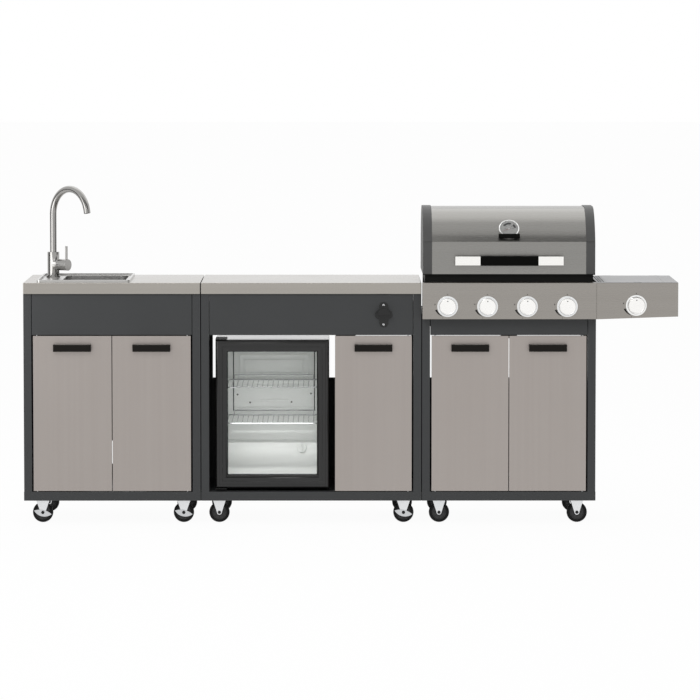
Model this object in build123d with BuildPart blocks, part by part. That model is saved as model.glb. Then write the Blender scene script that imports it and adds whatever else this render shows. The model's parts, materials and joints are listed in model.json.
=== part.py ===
from build123d import *
import os
from math import cos, radians, sin, sqrt

os.makedirs("parts", exist_ok=True)

# An outdoor kitchen of three carts on casters: sink, fridge and gas grill with a side shelf.
# The front faces -Y, +X runs to the right, z = 0 is the ground and all sizes are in millimetres.

# Carts across, from left to right
sink_width = 647
fridge_width = 806
grill_width = 636
shelf_width = 297
cart_gap = 3
cabinet_depth = 500

# Heights, stacked from the ground
caster_height = 87
base_rail_height = 33
door_opening_height = 576
fascia_height = 151
grill_fascia_height = 74
worktop_height = 41

# Fits
running_fit = 0.05
seat_gap = 0.3

# Frames and sheet
tube_side = 29
tube_wall = 1.5
sheet = 1.2
panel_fold = 12
fascia_fold = 28
fascia_gap = 1.5
low_back_height = 380
pipe_gap_rise = 53
pipe_gap_height = 88
pipe_gap_width = 220
partition_thickness = 13
partition_inset = 2

# Worktops
worktop_overhang = 8
worktop_lip = 20

# Doors
door_thickness = 18
door_setback = 1
door_edge_gap = 6
door_middle_gap = 3
door_top_gap = 3
door_bottom_gap = 3
hinge_inset = 13
hinge_pin_radius = 3
hinge_pin_depth = 14
handle_width = 138
handle_height = 25
handle_drop = 31
handle_reach = 28
handle_bar = 8
handle_foot = 12
handle_corner = 6
catch_width = 60
catch_depth = 22
catch_height = 13
link_radius = 9
link_inset = 100

# Sink and tap
sink_rim_width = 342
sink_rim_depth = 420
sink_rim_inset = 46
sink_rim_height = 8
sink_rim_bead = 8
sink_rim_corner = 14
sink_land = 10
bowl_width = 233
bowl_length = 350
bowl_depth = 150
bowl_corner = 45
bowl_bottom_fillet = 22
bowl_right_margin = 20
bowl_sheet = 1
drain_radius = 19
drain_flange_radius = 34
drain_flange = 2
drain_tail = 60
drain_bore = 17
tap_setback = 320
tap_body_radius = 22
tap_body_height = 95
tap_base_radius = 26
tap_base_height = 6
spout_radius = 12.5
spout_wall = 1.5
spout_top = 1233
spout_arch_radius = 95
spout_turn = 45
spout_sweep = 168
spout_tip = 12
spout_socket = 40
cartridge_radius = 21
cartridge_length = 8
cartridge_rise = 48
cartridge_turn = 33
lever_cap_length = 38
lever_spindle_radius = 8
lever_spindle_depth = 14
lever_radius = 4.5
lever_length = 70
lever_offset = 30

# Bottle opener
opener_x_from_right = 138
opener_drop = 76
opener_width = 64
opener_height = 90
opener_plate = 5
opener_hood_radius = 24
opener_hood_wall = 7
opener_hood_depth = 26
opener_lip = 5

# Fridge
fridge_side_gap = 23.3
fridge_body_width = 416
cupboard_gap = 22
fridge_foot_height = 10
fridge_foot_radius = 15
fridge_foot_inset = 60
fridge_top_gap = 18
fridge_door_setback = 2
fridge_door_thickness = 40
fridge_seal = 4.7
fridge_seal_width = 12
fridge_seal_inset = 18
fridge_depth = 424
fridge_wall = 32
fridge_roof = 42
fridge_floor = 48
fridge_back = 40
fridge_hump_depth = 120
fridge_hump_height = 92
fridge_door_stile = 45
fridge_door_head = 44
fridge_door_sill = 50
fridge_door_step = 8
fridge_door_band = 20
fridge_glass_thickness = 18
fridge_glass_rebate = 9
fridge_hinge_inset = 14
fridge_pin_radius = 4
fridge_pin_depth = 16
fridge_bracket_width = 41
fridge_bracket_plate = 3
fridge_bracket_back = 80
evaporator_width = 300
evaporator_height = 221
evaporator_plate = 2
evaporator_corner = 16
evaporator_pad = 4
evaporator_pad_width = 125
evaporator_pad_height = 185
evaporator_drop = 24
thermostat_radius = 19
thermostat_length = 12
thermostat_x_from_right = 71
thermostat_rise = 72
shelf_wire = 4
shelf_wire_count = 17
shelf_frame_wire = 6
shelf_back_rail = 16
shelf_heights = (184, 317)
runner_width = 10
runner_height = 7

# Grill
panel_reach = 45
panel_lift = 61
panel_height = 133
firebox_side_inset = 10
firebox_front_inset = 25
firebox_height = 148.7
firebox_wall = 2
firebox_rim = 3
firebox_rim_side = 7
firebox_rim_front = 13
firebox_drain_width = 200
firebox_drain_depth = 60
ledge_width = 10
ledge_height = 5
grate_rise = 116
grate_thickness = 12
grate_gap = 1.5
grate_count = 3
grate_border = 14
grate_bar = 7
grate_slot = 9
tamer_rise = 70
tamer_width = 90
tamer_height = 26
tamer_foot = 3
knob_line_rise = 47
first_knob_offset = 92
knob_spacing = 145.5
burner_radius = 12.5
burner_neck_radius = 9
burner_bore = 7
burner_mouth = 10
manifold_radius = 8
manifold_setback = 14
manifold_left_offset = 60
inlet_radius = 6
inlet_drop = 40
valve_size = 22
valve_bore_depth = 12
nozzle_radius = 3
nozzle_length = 27
stem_radius = 4
bezel_radius = 37
bezel_thickness = 6
bezel_slope = 5
knob_radius = 31
knob_length = 24
knob_taper = 5
knob_gap = 1

# Lid
lid_side_inset = 3
lid_front_inset = 12
lid_rear_inset = 22
lid_crease_rise = 118
lid_height = 237
lid_top_front = 178
lid_top_back = 290
lid_back_rise = 120
lid_sheet = 1.2
cap_width = 33
cap_proud = 3
cap_wall = 4
lid_hinge_out = 10
lid_hinge_rise = 11
lid_ear_radius = 8.5
lid_pin_radius = 4
lid_bracket = 5
lid_bracket_radius = 7.5
lid_handle_width = 396
lid_handle_height = 33
lid_handle_bar = 8
lid_handle_rise = 50
lid_handle_gap = 32
lid_handle_post = 16
lid_handle_post_inset = 8
lid_grip_width = 212
lid_grip_wall = 1
thermometer_radius = 38
thermometer_thickness = 12
thermometer_rim = 5
thermometer_rise = 160
thermometer_stem_radius = 4
thermometer_stem = 50

# Grease tray
tray_side_gap = 4
tray_flange = 10
tray_height = 28
tray_front_gap = 12
tray_rear_gap = 20
runner_foot = 14
runner_drop = 13
runner_sheet = 2

# Side shelf
shelf_depth = 430
shelf_end_rise = 10
shelf_deck_drop = 50
shelf_knob_offset = 144
shelf_knob_lift = 4
cover_margin = 1
cover_fold = 10
cover_fold_gap = 3
cover_knuckle_radius = 5
cover_knuckle_length = 36
cover_knuckle_inset = 40
cover_pin_radius = 2.5
cover_slot_width = 30
cover_slot_depth = 8
cover_slot_inset = 14
side_burner_radius = 38
side_burner_height = 22
side_burner_foot = 8
support_bar = 6
support_reach = 95
support_height = 40

# Casters
wheel_radius = 37.5
wheel_width = 24
wheel_chamfer = 3
hub_radius = 25
hub_recess = 2.5
axle_radius = 4
axle_nut_radius = 6.5
axle_nut_height = 4
fork_side_gap = 0.6
fork_top_width = 50
fork_tip_radius = 9
fork_cheek = 2.5
fork_crown = 4
caster_inset = 64
caster_setback = 75
caster_stem_radius = 6
caster_stem_length = 22
caster_bearing_radius = 17
caster_bearing_gap = 0.1
caster_bearing = 3
brake_length = 66
brake_rise = 9
brake_drop = 15
brake_plate = 2.5
brake_tilt = 12

# Places worked out from the sizes above
overall_width = sink_width + cart_gap + fridge_width + cart_gap + grill_width + shelf_width
sink_left = -overall_width / 2
sink_right = sink_left + sink_width
fridge_left = sink_right + cart_gap
fridge_right = fridge_left + fridge_width
grill_left = fridge_right + cart_gap
grill_right = grill_left + grill_width
shelf_right = grill_right + shelf_width

knob_reach = panel_reach + bezel_thickness + knob_gap + knob_length
front_y = (knob_reach - cabinet_depth) / 2
back_y = front_y + cabinet_depth
base_top = caster_height + base_rail_height
floor_top = base_top + sheet
fascia_bottom = base_top + door_opening_height
frame_top = fascia_bottom + fascia_height
worktop_top = frame_top + worktop_height
grill_frame_top = fascia_bottom + grill_fascia_height
inner_front = front_y + tube_side
inner_back = back_y - tube_side


# A plain block between its low and high corners.
def block(low, high):
    with BuildPart() as piece:
        with BuildSketch(Plane.XY.offset(low[2])):
            with Locations(((low[0] + high[0]) / 2, (low[1] + high[1]) / 2)):
                Rectangle(high[0] - low[0], high[1] - low[1])
        extrude(amount=high[2] - low[2])
    return piece.part


# A square tube, open at both ends along one axis.
def square_tube(low, high, axis):
    with BuildPart() as piece:
        add(block(low, high))
        offset(amount=-tube_wall, openings=piece.faces().filter_by(axis))
    return piece.part


# A sheet folded on four sides, open at one end of an axis.
def folded_pan(low, high, axis, end):
    with BuildPart() as piece:
        add(block(low, high))
        offset(amount=-sheet, openings=piece.faces().sort_by(axis)[end])
    return piece.part


# A round bar along Y, from one depth to another.
def bar_along_y(x, z, radius, y_from, y_to):
    with BuildPart() as piece:
        with BuildSketch(Plane.XZ.offset(-y_from)):
            with Locations((x, z)):
                Circle(radius)
        extrude(amount=y_from - y_to)
    return piece.part


# A round bar along X.
def bar_along_x(y, z, radius, x_from, x_to):
    with BuildPart() as piece:
        with BuildSketch(Plane.YZ.offset(x_from)):
            with Locations((y, z)):
                Circle(radius)
        extrude(amount=x_to - x_from)
    return piece.part


# A round bar standing along Z.
def bar_along_z(x, y, radius, z_from, z_to):
    with BuildPart() as piece:
        with BuildSketch(Plane.XY.offset(z_from)):
            with Locations((x, y)):
                Circle(radius)
        extrude(amount=z_to - z_from)
    return piece.part


# Pieces that share a node stay separate solids in it.
def export_group(name, pieces):
    group = Compound(label=name, children=pieces)
    export_step(group, f"parts/{name}.step")


# Casters: two of each cart's four swivel, and three of those have a brake lever.
carts = {
    "sink": (sink_left, sink_right),
    "fridge": (fridge_left, fridge_right),
    "grill": (grill_left, grill_right),
}
caster_rows = {"front": front_y + caster_setback, "rear": back_y - caster_setback}
swivel_casters = (
    "sink_front_left",
    "sink_front_right",
    "fridge_front_right",
    "fridge_rear_right",
    "grill_rear_left",
    "grill_rear_right",
)
braked_casters = ("sink_front_left", "sink_front_right", "fridge_front_right")
caster_places = {}
for cart, (left, right) in carts.items():
    for row, y in caster_rows.items():
        caster_places[f"{cart}_{row}_left"] = (left + caster_inset, y)
        caster_places[f"{cart}_{row}_right"] = (right - caster_inset, y)


# The cross bar that carries a cart's front or rear casters, bored for the swivel stems.
def caster_bar(cart, row):
    left, right = carts[cart]
    y = caster_rows[row]
    names = (f"{cart}_{row}_left", f"{cart}_{row}_right")
    low = (left + tube_side, y - tube_side / 2, caster_height)
    high = (right - tube_side, y + tube_side / 2, base_top)
    with BuildPart() as bar:
        add(square_tube(low, high, Axis.X))
        for name in names:
            if name in swivel_casters:
                with BuildSketch(Plane.XY.offset(caster_height)):
                    with Locations(caster_places[name]):
                        Circle(caster_stem_radius + running_fit)
                extrude(amount=tube_wall, mode=Mode.SUBTRACT)
    return bar.part


# The welded square-tube frame of one cart.
def cart_frame(cart, top):
    left, right = carts[cart]
    tubes = [caster_bar(cart, row) for row in caster_rows]
    for y in (front_y, inner_back):
        tubes.append(square_tube((left, y, caster_height), (right, y + tube_side, base_top), Axis.X))
    for x in (left, right - tube_side):
        side = x + tube_side
        tubes.append(square_tube((x, inner_front, caster_height), (side, inner_back, base_top), Axis.Y))
        tubes.append(square_tube((x, inner_front, top - tube_side), (side, inner_back, top), Axis.Y))
        for y in (front_y, inner_back):
            tubes.append(square_tube((x, y, base_top), (side, y + tube_side, top), Axis.Z))
    low = (left + tube_side, inner_back, top - tube_side)
    high = (right - tube_side, back_y, top)
    tubes.append(square_tube(low, high, Axis.X))
    return tubes


# A magnetic catch behind the doors, hung under the fascia.
def magnetic_catch(x):
    catch_front = front_y + door_setback + door_thickness + seat_gap
    low = (x - catch_width / 2, catch_front, fascia_bottom - catch_height)
    high = (x + catch_width / 2, catch_front + catch_depth, fascia_bottom)
    return block(low, high)


# Edges of the doors: each cart's opening is shared out between its leaves.
sink_middle = (sink_left + sink_right) / 2
grill_middle = (grill_left + grill_right) / 2
fridge_x0 = fridge_left + tube_side + fridge_side_gap
fridge_x1 = fridge_x0 + fridge_body_width
cupboard_left = fridge_x1 + cupboard_gap
partition_left = cupboard_left + partition_inset
partition_right = partition_left + partition_thickness
door_margin = tube_side + door_edge_gap
doors = {
    "sink_left_door": (sink_left + door_margin, sink_middle - door_middle_gap / 2, "left"),
    "sink_right_door": (sink_middle + door_middle_gap / 2, sink_right - door_margin, "right"),
    "fridge_cupboard_door": (cupboard_left, fridge_right - door_margin, "right"),
    "grill_left_door": (grill_left + door_margin, grill_middle - door_middle_gap / 2, "left"),
    "grill_right_door": (grill_middle + door_middle_gap / 2, grill_right - door_margin, "right"),
}
door_bottom = base_top + door_bottom_gap
door_top = fascia_bottom - door_top_gap
door_front = front_y + door_setback
door_back = door_front + door_thickness
hinge_y = door_front + door_thickness / 2
catch_inset = partition_right + catch_width / 2

# Spacers bolted between the rear posts hold neighbouring carts together.
links = []
for left, right, low_top in (
    (sink_right, fridge_left, frame_top),
    (fridge_right, grill_left, grill_frame_top),
):
    for z in (base_top + link_inset, low_top - link_inset):
        links.append(bar_along_x(inner_back + tube_side / 2, z, link_radius, left, right))

# Tray runners hang from the grill frame's side rails.
tray_z = grill_frame_top - tube_side - runner_drop
runners = []
for x, inward in ((grill_left + tube_side, 1), (grill_right - tube_side, -1)):
    with BuildPart() as runner:
        with BuildSketch(Plane.XZ.offset(-inner_front)):
            with BuildLine():
                Polyline(
                    (x, grill_frame_top),
                    (x + inward * runner_sheet, grill_frame_top),
                    (x + inward * runner_sheet, tray_z),
                    (x + inward * runner_foot, tray_z),
                    (x + inward * runner_foot, tray_z - runner_sheet),
                    (x, tray_z - runner_sheet),
                    close=True,
                )
            make_face()
        extrude(amount=inner_front - inner_back)
    runners.append(runner.part)

export_group("sink_frame", cart_frame("sink", frame_top) + [magnetic_catch(sink_middle)])
export_group("fridge_frame", cart_frame("fridge", frame_top) + [magnetic_catch(catch_inset)] + links)
export_group(
    "grill_frame", cart_frame("grill", grill_frame_top) + [magnetic_catch(grill_middle)] + runners
)

# Side panels, floors, fascias, backs and the fridge cart's partition
panels = []
for cart, top in (("sink", frame_top), ("fridge", frame_top), ("grill", grill_frame_top)):
    left, right = carts[cart]
    side_top = top - tube_side
    low = (left, inner_front, base_top)
    high = (left + panel_fold, inner_back, side_top)
    panels.append(folded_pan(low, high, Axis.X, -1))
    low = (right - panel_fold, inner_front, base_top)
    high = (right, inner_back, side_top)
    panels.append(folded_pan(low, high, Axis.X, 0))
    low = (left + tube_side, inner_front, base_top)
    high = (right - tube_side, inner_back, floor_top)
    panels.append(block(low, high))
    low = (left + tube_side + fascia_gap, door_front, fascia_bottom)
    high = (right - tube_side - fascia_gap, front_y + fascia_fold, top)
    panels.append(folded_pan(low, high, Axis.Y, -1))

low_back_top = base_top + low_back_height
for left, right in (carts["fridge"], carts["grill"]):
    low = (left + tube_side, back_y - panel_fold, base_top)
    high = (right - tube_side, back_y, low_back_top)
    panels.append(folded_pan(low, high, Axis.Y, 0))

# The sink cart's back leaves a gap for the water pipes between its four sheets.
pipe_gap_low = base_top + pipe_gap_rise
pipe_gap_high = pipe_gap_low + pipe_gap_height
pipe_gap_left = sink_middle - pipe_gap_width / 2
pipe_gap_right = sink_middle + pipe_gap_width / 2
back_left = sink_left + tube_side
back_right = sink_right - tube_side
for x_low, x_high, z_low, z_high in (
    (back_left, back_right, base_top, pipe_gap_low),
    (back_left, pipe_gap_left, pipe_gap_low, pipe_gap_high),
    (pipe_gap_right, back_right, pipe_gap_low, pipe_gap_high),
    (back_left, back_right, pipe_gap_high, frame_top - tube_side),
):
    low = (x_low, back_y - panel_fold, z_low)
    panels.append(folded_pan(low, (x_high, back_y, z_high), Axis.Y, 0))

low = (partition_left, door_back + seat_gap, floor_top)
high = (partition_right, inner_back, fascia_bottom)
panels.append(folded_pan(low, high, Axis.X, 0))
export_group("cabinet_panels", panels)


# A worktop folded from sheet, with a lip under its edge that lies on the frame.
def worktop(left, right):
    top_front = front_y - worktop_overhang
    middle = ((left + right) / 2, (top_front + back_y) / 2)
    width = right - left
    depth = back_y - top_front
    with BuildPart() as top:
        add(folded_pan((left, top_front, frame_top), (right, back_y, worktop_top), Axis.Z, 0))
        with BuildSketch(Plane.XY.offset(frame_top)):
            with Locations(middle):
                Rectangle(width, depth)
                Rectangle(width - 2 * worktop_lip, depth - 2 * worktop_lip, mode=Mode.SUBTRACT)
        extrude(amount=sheet)
    return top.part


with BuildPart() as fridge_worktop:
    add(worktop(fridge_left, fridge_right))
fridge_worktop.part.label = "fridge_worktop"
export_step(fridge_worktop.part, "parts/fridge_worktop.step")

# Drop-in sink: the rim lies on the worktop and the bowl hangs through its cut-out.
rim_left = sink_left + sink_rim_inset
rim_middle = (rim_left + sink_rim_width / 2, (front_y + back_y) / 2)
bowl_right = rim_left + sink_rim_width - bowl_right_margin
bowl_left = bowl_right - bowl_width
bowl_middle = ((bowl_left + bowl_right) / 2, rim_middle[1])
bowl_floor = worktop_top - bowl_depth
ledge_top = worktop_top + bowl_sheet

with BuildPart() as sink_worktop:
    add(worktop(sink_left, sink_right))
    with BuildSketch(Plane.XY.offset(worktop_top)):
        with Locations(rim_middle):
            RectangleRounded(
                sink_rim_width - 2 * sink_land, sink_rim_depth - 2 * sink_land, sink_rim_corner
            )
    extrude(amount=-sheet, mode=Mode.SUBTRACT)
sink_worktop.part.label = "sink_worktop"
export_step(sink_worktop.part, "parts/sink_worktop.step")

with BuildPart() as bowl_space:
    with BuildSketch(Plane.XY.offset(bowl_floor)):
        with Locations(bowl_middle):
            RectangleRounded(bowl_width, bowl_length, bowl_corner)
    extrude(amount=bowl_depth + sink_rim_height)
    fillet(bowl_space.faces().sort_by(Axis.Z)[0].edges(), bowl_bottom_fillet)

with BuildPart() as sink_bowl:
    with BuildSketch(Plane.XY.offset(worktop_top)):
        with Locations(rim_middle):
            RectangleRounded(sink_rim_width, sink_rim_depth, sink_rim_corner)
    extrude(amount=sink_rim_height)
    with BuildSketch(Plane.XY.offset(ledge_top)):
        with Locations(rim_middle):
            RectangleRounded(
                sink_rim_width - 2 * sink_rim_bead,
                sink_rim_depth - 2 * sink_rim_bead,
                sink_rim_corner - sink_rim_bead,
            )
    extrude(amount=sink_rim_height, mode=Mode.SUBTRACT)
    with BuildSketch(Plane.XY.offset(ledge_top)):
        with Locations(bowl_middle):
            RectangleRounded(
                bowl_width + 2 * bowl_sheet, bowl_length + 2 * bowl_sheet, bowl_corner + bowl_sheet
            )
    extrude(amount=bowl_floor - bowl_sheet - ledge_top)
    fillet(sink_bowl.faces().sort_by(Axis.Z)[0].edges(), bowl_bottom_fillet + bowl_sheet)
    add(bowl_space.part, mode=Mode.SUBTRACT)
    with BuildSketch(Plane.XY.offset(bowl_floor)):
        with Locations(bowl_middle):
            Circle(drain_radius)
    extrude(amount=-bowl_sheet, mode=Mode.SUBTRACT)

with BuildPart() as drain:
    with BuildSketch(Plane.XY.offset(bowl_floor)):
        with Locations(bowl_middle):
            Circle(drain_flange_radius)
    extrude(amount=drain_flange)
    with BuildSketch(Plane.XY.offset(bowl_floor)):
        with Locations(bowl_middle):
            Circle(drain_radius)
    extrude(amount=-drain_tail)
    with BuildSketch(Plane.XY.offset(bowl_floor)):
        with Locations(bowl_middle):
            Circle(drain_bore)
    extrude(amount=-drain_tail, mode=Mode.SUBTRACT)
export_group("sink_bowl", [sink_bowl.part, drain.part])

# Tap on the sink's left ledge: body with a side cartridge, swivelling spout and lever
tap_x = (rim_left + bowl_left) / 2
tap_y = front_y + tap_setback
tap_top = ledge_top + tap_body_height
cartridge_way = Vector(cos(radians(cartridge_turn)), -sin(radians(cartridge_turn)), 0)
cartridge_start = Vector(tap_x, tap_y, ledge_top + cartridge_rise)
cartridge_end = cartridge_start + cartridge_way * (tap_body_radius + cartridge_length)
upright = (0, 0, 1)

with BuildPart() as tap_body:
    with BuildSketch(Plane.XY.offset(ledge_top)):
        with Locations((tap_x, tap_y)):
            Circle(tap_base_radius)
    extrude(amount=tap_base_height)
    with BuildSketch(Plane.XY.offset(ledge_top)):
        with Locations((tap_x, tap_y)):
            Circle(tap_body_radius)
    extrude(amount=tap_body_height)
    with BuildSketch(Plane(origin=cartridge_start, x_dir=upright, z_dir=cartridge_way)):
        Circle(cartridge_radius)
    extrude(amount=tap_body_radius + cartridge_length)
    with BuildSketch(Plane(origin=cartridge_end, x_dir=upright, z_dir=cartridge_way)):
        Circle(lever_spindle_radius + running_fit)
    extrude(amount=-lever_spindle_depth, mode=Mode.SUBTRACT)
    with BuildSketch(Plane.XY.offset(tap_top)):
        with Locations((tap_x, tap_y)):
            Circle(spout_radius + running_fit)
    extrude(amount=-spout_socket, mode=Mode.SUBTRACT)
tap_body.part.label = "tap_body"
export_step(tap_body.part, "parts/tap_body.step")

arch_z = spout_top - spout_radius - spout_arch_radius
spout_way = (cos(radians(spout_turn)), -sin(radians(spout_turn)), 0)
spout_side = (-sin(radians(spout_turn)), -cos(radians(spout_turn)), 0)
spout_foot = tap_top - spout_socket + seat_gap
with BuildPart() as tap_spout:
    with BuildLine(Plane(origin=(tap_x, tap_y, 0), x_dir=spout_way, z_dir=spout_side)) as route:
        Line((0, spout_foot), (0, arch_z))
        arch = CenterArc((spout_arch_radius, arch_z), spout_arch_radius, 180, -spout_sweep)
        Line(arch @ 1, arch @ 1 + (arch % 1) * spout_tip)
    with BuildSketch(Plane.XY.offset(spout_foot)):
        with Locations((tap_x, tap_y)):
            Circle(spout_radius)
            Circle(spout_radius - spout_wall, mode=Mode.SUBTRACT)
    sweep(path=route.line)
tap_spout.part.label = "tap_spout"
export_step(tap_spout.part, "parts/tap_spout.step")

lever_seat = cartridge_end + cartridge_way * seat_gap
lever_foot = lever_seat + cartridge_way * lever_offset
with BuildPart() as tap_lever:
    with BuildSketch(Plane(origin=lever_seat, x_dir=upright, z_dir=cartridge_way)):
        Circle(cartridge_radius)
    extrude(amount=lever_cap_length)
    with BuildSketch(Plane(origin=lever_seat, x_dir=upright, z_dir=cartridge_way)):
        Circle(lever_spindle_radius)
    extrude(amount=-lever_spindle_depth)
    with BuildSketch(Plane(origin=lever_foot)):
        Circle(lever_radius)
    extrude(amount=lever_length)
tap_lever.part.label = "tap_lever"
export_step(tap_lever.part, "parts/tap_lever.step")

# Wall bottle opener on the fridge cart's fascia: a shield plate and a hood that opens downwards
opener_x = fridge_right - opener_x_from_right
opener_z = frame_top - opener_drop
opener_front = door_front - opener_plate
with BuildPart() as bottle_opener:
    with BuildSketch(Plane.XZ.offset(-door_front)):
        with Locations((opener_x, opener_z)):
            SlotOverall(opener_height, opener_width / 2, rotation=90)
            SlotOverall(opener_width, opener_width / 2)
    extrude(amount=opener_plate)
    with BuildSketch(Plane.XZ.offset(-opener_front)):
        with Locations((opener_x, opener_z)):
            Circle(opener_hood_radius)
            Rectangle(
                2 * opener_hood_radius,
                opener_hood_radius,
                align=(Align.CENTER, Align.MAX),
                mode=Mode.SUBTRACT,
            )
    extrude(amount=opener_hood_depth)
    with BuildSketch(Plane.XZ.offset(-opener_front)):
        with Locations((opener_x, opener_z)):
            Circle(opener_hood_radius - opener_hood_wall)
            Rectangle(
                2 * opener_hood_radius,
                opener_hood_radius,
                align=(Align.CENTER, Align.MAX),
                mode=Mode.SUBTRACT,
            )
    extrude(amount=opener_hood_depth - opener_lip, mode=Mode.SUBTRACT)
bottle_opener.part.label = "bottle_opener"
export_step(bottle_opener.part, "parts/bottle_opener.step")


# A cupboard door: a folded pan turning on two pins, with a black bar handle.
def cupboard_door(left, right, hinge_x):
    with BuildPart() as leaf:
        add(folded_pan((left, door_front, door_bottom), (right, door_back, door_top), Axis.Y, -1))
        for z, way in ((door_bottom, 1), (door_top, -1)):
            with BuildSketch(Plane.XY.offset(z)):
                with Locations((hinge_x, hinge_y)):
                    Circle(hinge_pin_radius + running_fit)
            extrude(amount=way * sheet, mode=Mode.SUBTRACT)
    middle = (left + right) / 2
    handle_top = door_top - handle_drop
    with BuildPart() as handle:
        with BuildSketch(Plane.XY.offset(handle_top - handle_height)):
            with Locations((middle, door_front)):
                Rectangle(handle_width, handle_reach, align=(Align.CENTER, Align.MAX))
                Rectangle(
                    handle_width - 2 * handle_foot,
                    handle_reach - handle_bar,
                    align=(Align.CENTER, Align.MAX),
                    mode=Mode.SUBTRACT,
                )
        extrude(amount=handle_height)
        front_corners = handle.edges().filter_by(Axis.Z).group_by(Axis.Y)[0]
        fillet(front_corners, handle_corner)
    return [leaf.part, handle.part]


hinge_pins = []
for name, (left, right, hinge_side) in doors.items():
    hinge_x = left + hinge_inset if hinge_side == "left" else right - hinge_inset
    export_group(name, cupboard_door(left, right, hinge_x))
    for pin_low in (base_top, fascia_bottom - hinge_pin_depth):
        pin_high = pin_low + hinge_pin_depth
        hinge_pins.append(bar_along_z(hinge_x, hinge_y, hinge_pin_radius, pin_low, pin_high))
export_group("hinge_pins", hinge_pins)

# Fridge: an insulated housing with a step over the compressor
fridge_bottom = floor_top + fridge_foot_height
fridge_top = fascia_bottom - fridge_top_gap
fridge_door_front = front_y + fridge_door_setback
fridge_door_back = fridge_door_front + fridge_door_thickness
fridge_front = fridge_door_back + fridge_seal + seat_gap
fridge_rear = fridge_front + fridge_depth
chamber_left = fridge_x0 + fridge_wall
chamber_right = fridge_x1 - fridge_wall
chamber_floor = fridge_bottom + fridge_floor
chamber_roof = fridge_top - fridge_roof
chamber_back = fridge_rear - fridge_back
hump_front = chamber_back - fridge_hump_depth
hump_top = chamber_floor + fridge_hump_height
fridge_middle = (fridge_x0 + fridge_x1) / 2

with BuildPart() as fridge_housing:
    add(block((fridge_x0, fridge_front, fridge_bottom), (fridge_x1, fridge_rear, fridge_top)))
    with BuildSketch(Plane.YZ.offset(chamber_left)):
        with BuildLine():
            Polyline(
                (fridge_front, chamber_floor),
                (hump_front, chamber_floor),
                (hump_front, hump_top),
                (chamber_back, hump_top),
                (chamber_back, chamber_roof),
                (fridge_front, chamber_roof),
                close=True,
            )
        make_face()
    extrude(amount=chamber_right - chamber_left, mode=Mode.SUBTRACT)

with BuildPart() as evaporator:
    evaporator_z = chamber_roof - evaporator_drop - evaporator_height / 2
    with BuildSketch(Plane.XZ.offset(-chamber_back)):
        with Locations((fridge_middle, evaporator_z)):
            RectangleRounded(evaporator_width, evaporator_height, evaporator_corner)
    extrude(amount=evaporator_plate)
    with BuildSketch(Plane.XZ.offset(evaporator_plate - chamber_back)):
        with Locations((fridge_middle, evaporator_z)):
            with GridLocations(evaporator_width / 2, 0, 2, 1):
                Rectangle(evaporator_pad_width, evaporator_pad_height)
    extrude(amount=evaporator_pad)

thermostat_x = chamber_right - thermostat_x_from_right
thermostat_z = chamber_floor + thermostat_rise
thermostat_front = hump_front - thermostat_length
fridge_pieces = [fridge_housing.part, evaporator.part]
fridge_pieces.append(
    bar_along_y(thermostat_x, thermostat_z, thermostat_radius, thermostat_front, hump_front)
)
for x in (fridge_x0 + fridge_foot_inset, fridge_x1 - fridge_foot_inset):
    for y in (fridge_front + fridge_foot_inset, fridge_rear - fridge_foot_inset):
        fridge_pieces.append(bar_along_z(x, y, fridge_foot_radius, floor_top, fridge_bottom))

# Shelf runners on the chamber's side walls, and the wire shelves on them
runner_front = fridge_front + shelf_back_rail
runner_back = chamber_back - shelf_back_rail
shelf_left = chamber_left + shelf_wire
shelf_right_edge = chamber_right - shelf_wire
shelf_span = shelf_right_edge - shelf_left
shelf_length = runner_back - runner_front
shelf_middle = (fridge_middle, (runner_front + runner_back) / 2)
wire_length = shelf_length - 2 * shelf_frame_wire
wire_pitch = (shelf_span - 2 * shelf_frame_wire) / (shelf_wire_count + 1)
fridge_shelves = []
for height in shelf_heights:
    shelf_z = chamber_floor + height
    for x in (chamber_left, chamber_right - runner_width):
        low = (x, runner_front, shelf_z - runner_height)
        fridge_pieces.append(block(low, (x + runner_width, runner_back, shelf_z)))
    with BuildPart() as wire_shelf:
        with BuildSketch(Plane.XY.offset(shelf_z)):
            with Locations(shelf_middle):
                Rectangle(shelf_span, shelf_length)
                Rectangle(shelf_span - 2 * shelf_frame_wire, wire_length, mode=Mode.SUBTRACT)
        extrude(amount=shelf_frame_wire)
        with BuildSketch(Plane.XY.offset(shelf_z + shelf_frame_wire - shelf_wire)):
            with Locations(shelf_middle):
                with GridLocations(wire_pitch, 0, shelf_wire_count, 1):
                    Rectangle(shelf_wire, wire_length)
        extrude(amount=shelf_wire)
    with BuildPart() as back_rail:
        with BuildSketch(Plane.XZ.offset(shelf_wire - runner_back)):
            with Locations((fridge_middle, shelf_z + shelf_frame_wire + shelf_back_rail / 2)):
                Rectangle(shelf_span, shelf_back_rail)
                Rectangle(
                    shelf_span - 2 * shelf_wire, shelf_back_rail - 2 * shelf_wire, mode=Mode.SUBTRACT
                )
        extrude(amount=-shelf_wire)
    fridge_shelves += [wire_shelf.part, back_rail.part]
export_group("fridge_shelves", fridge_shelves)

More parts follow.
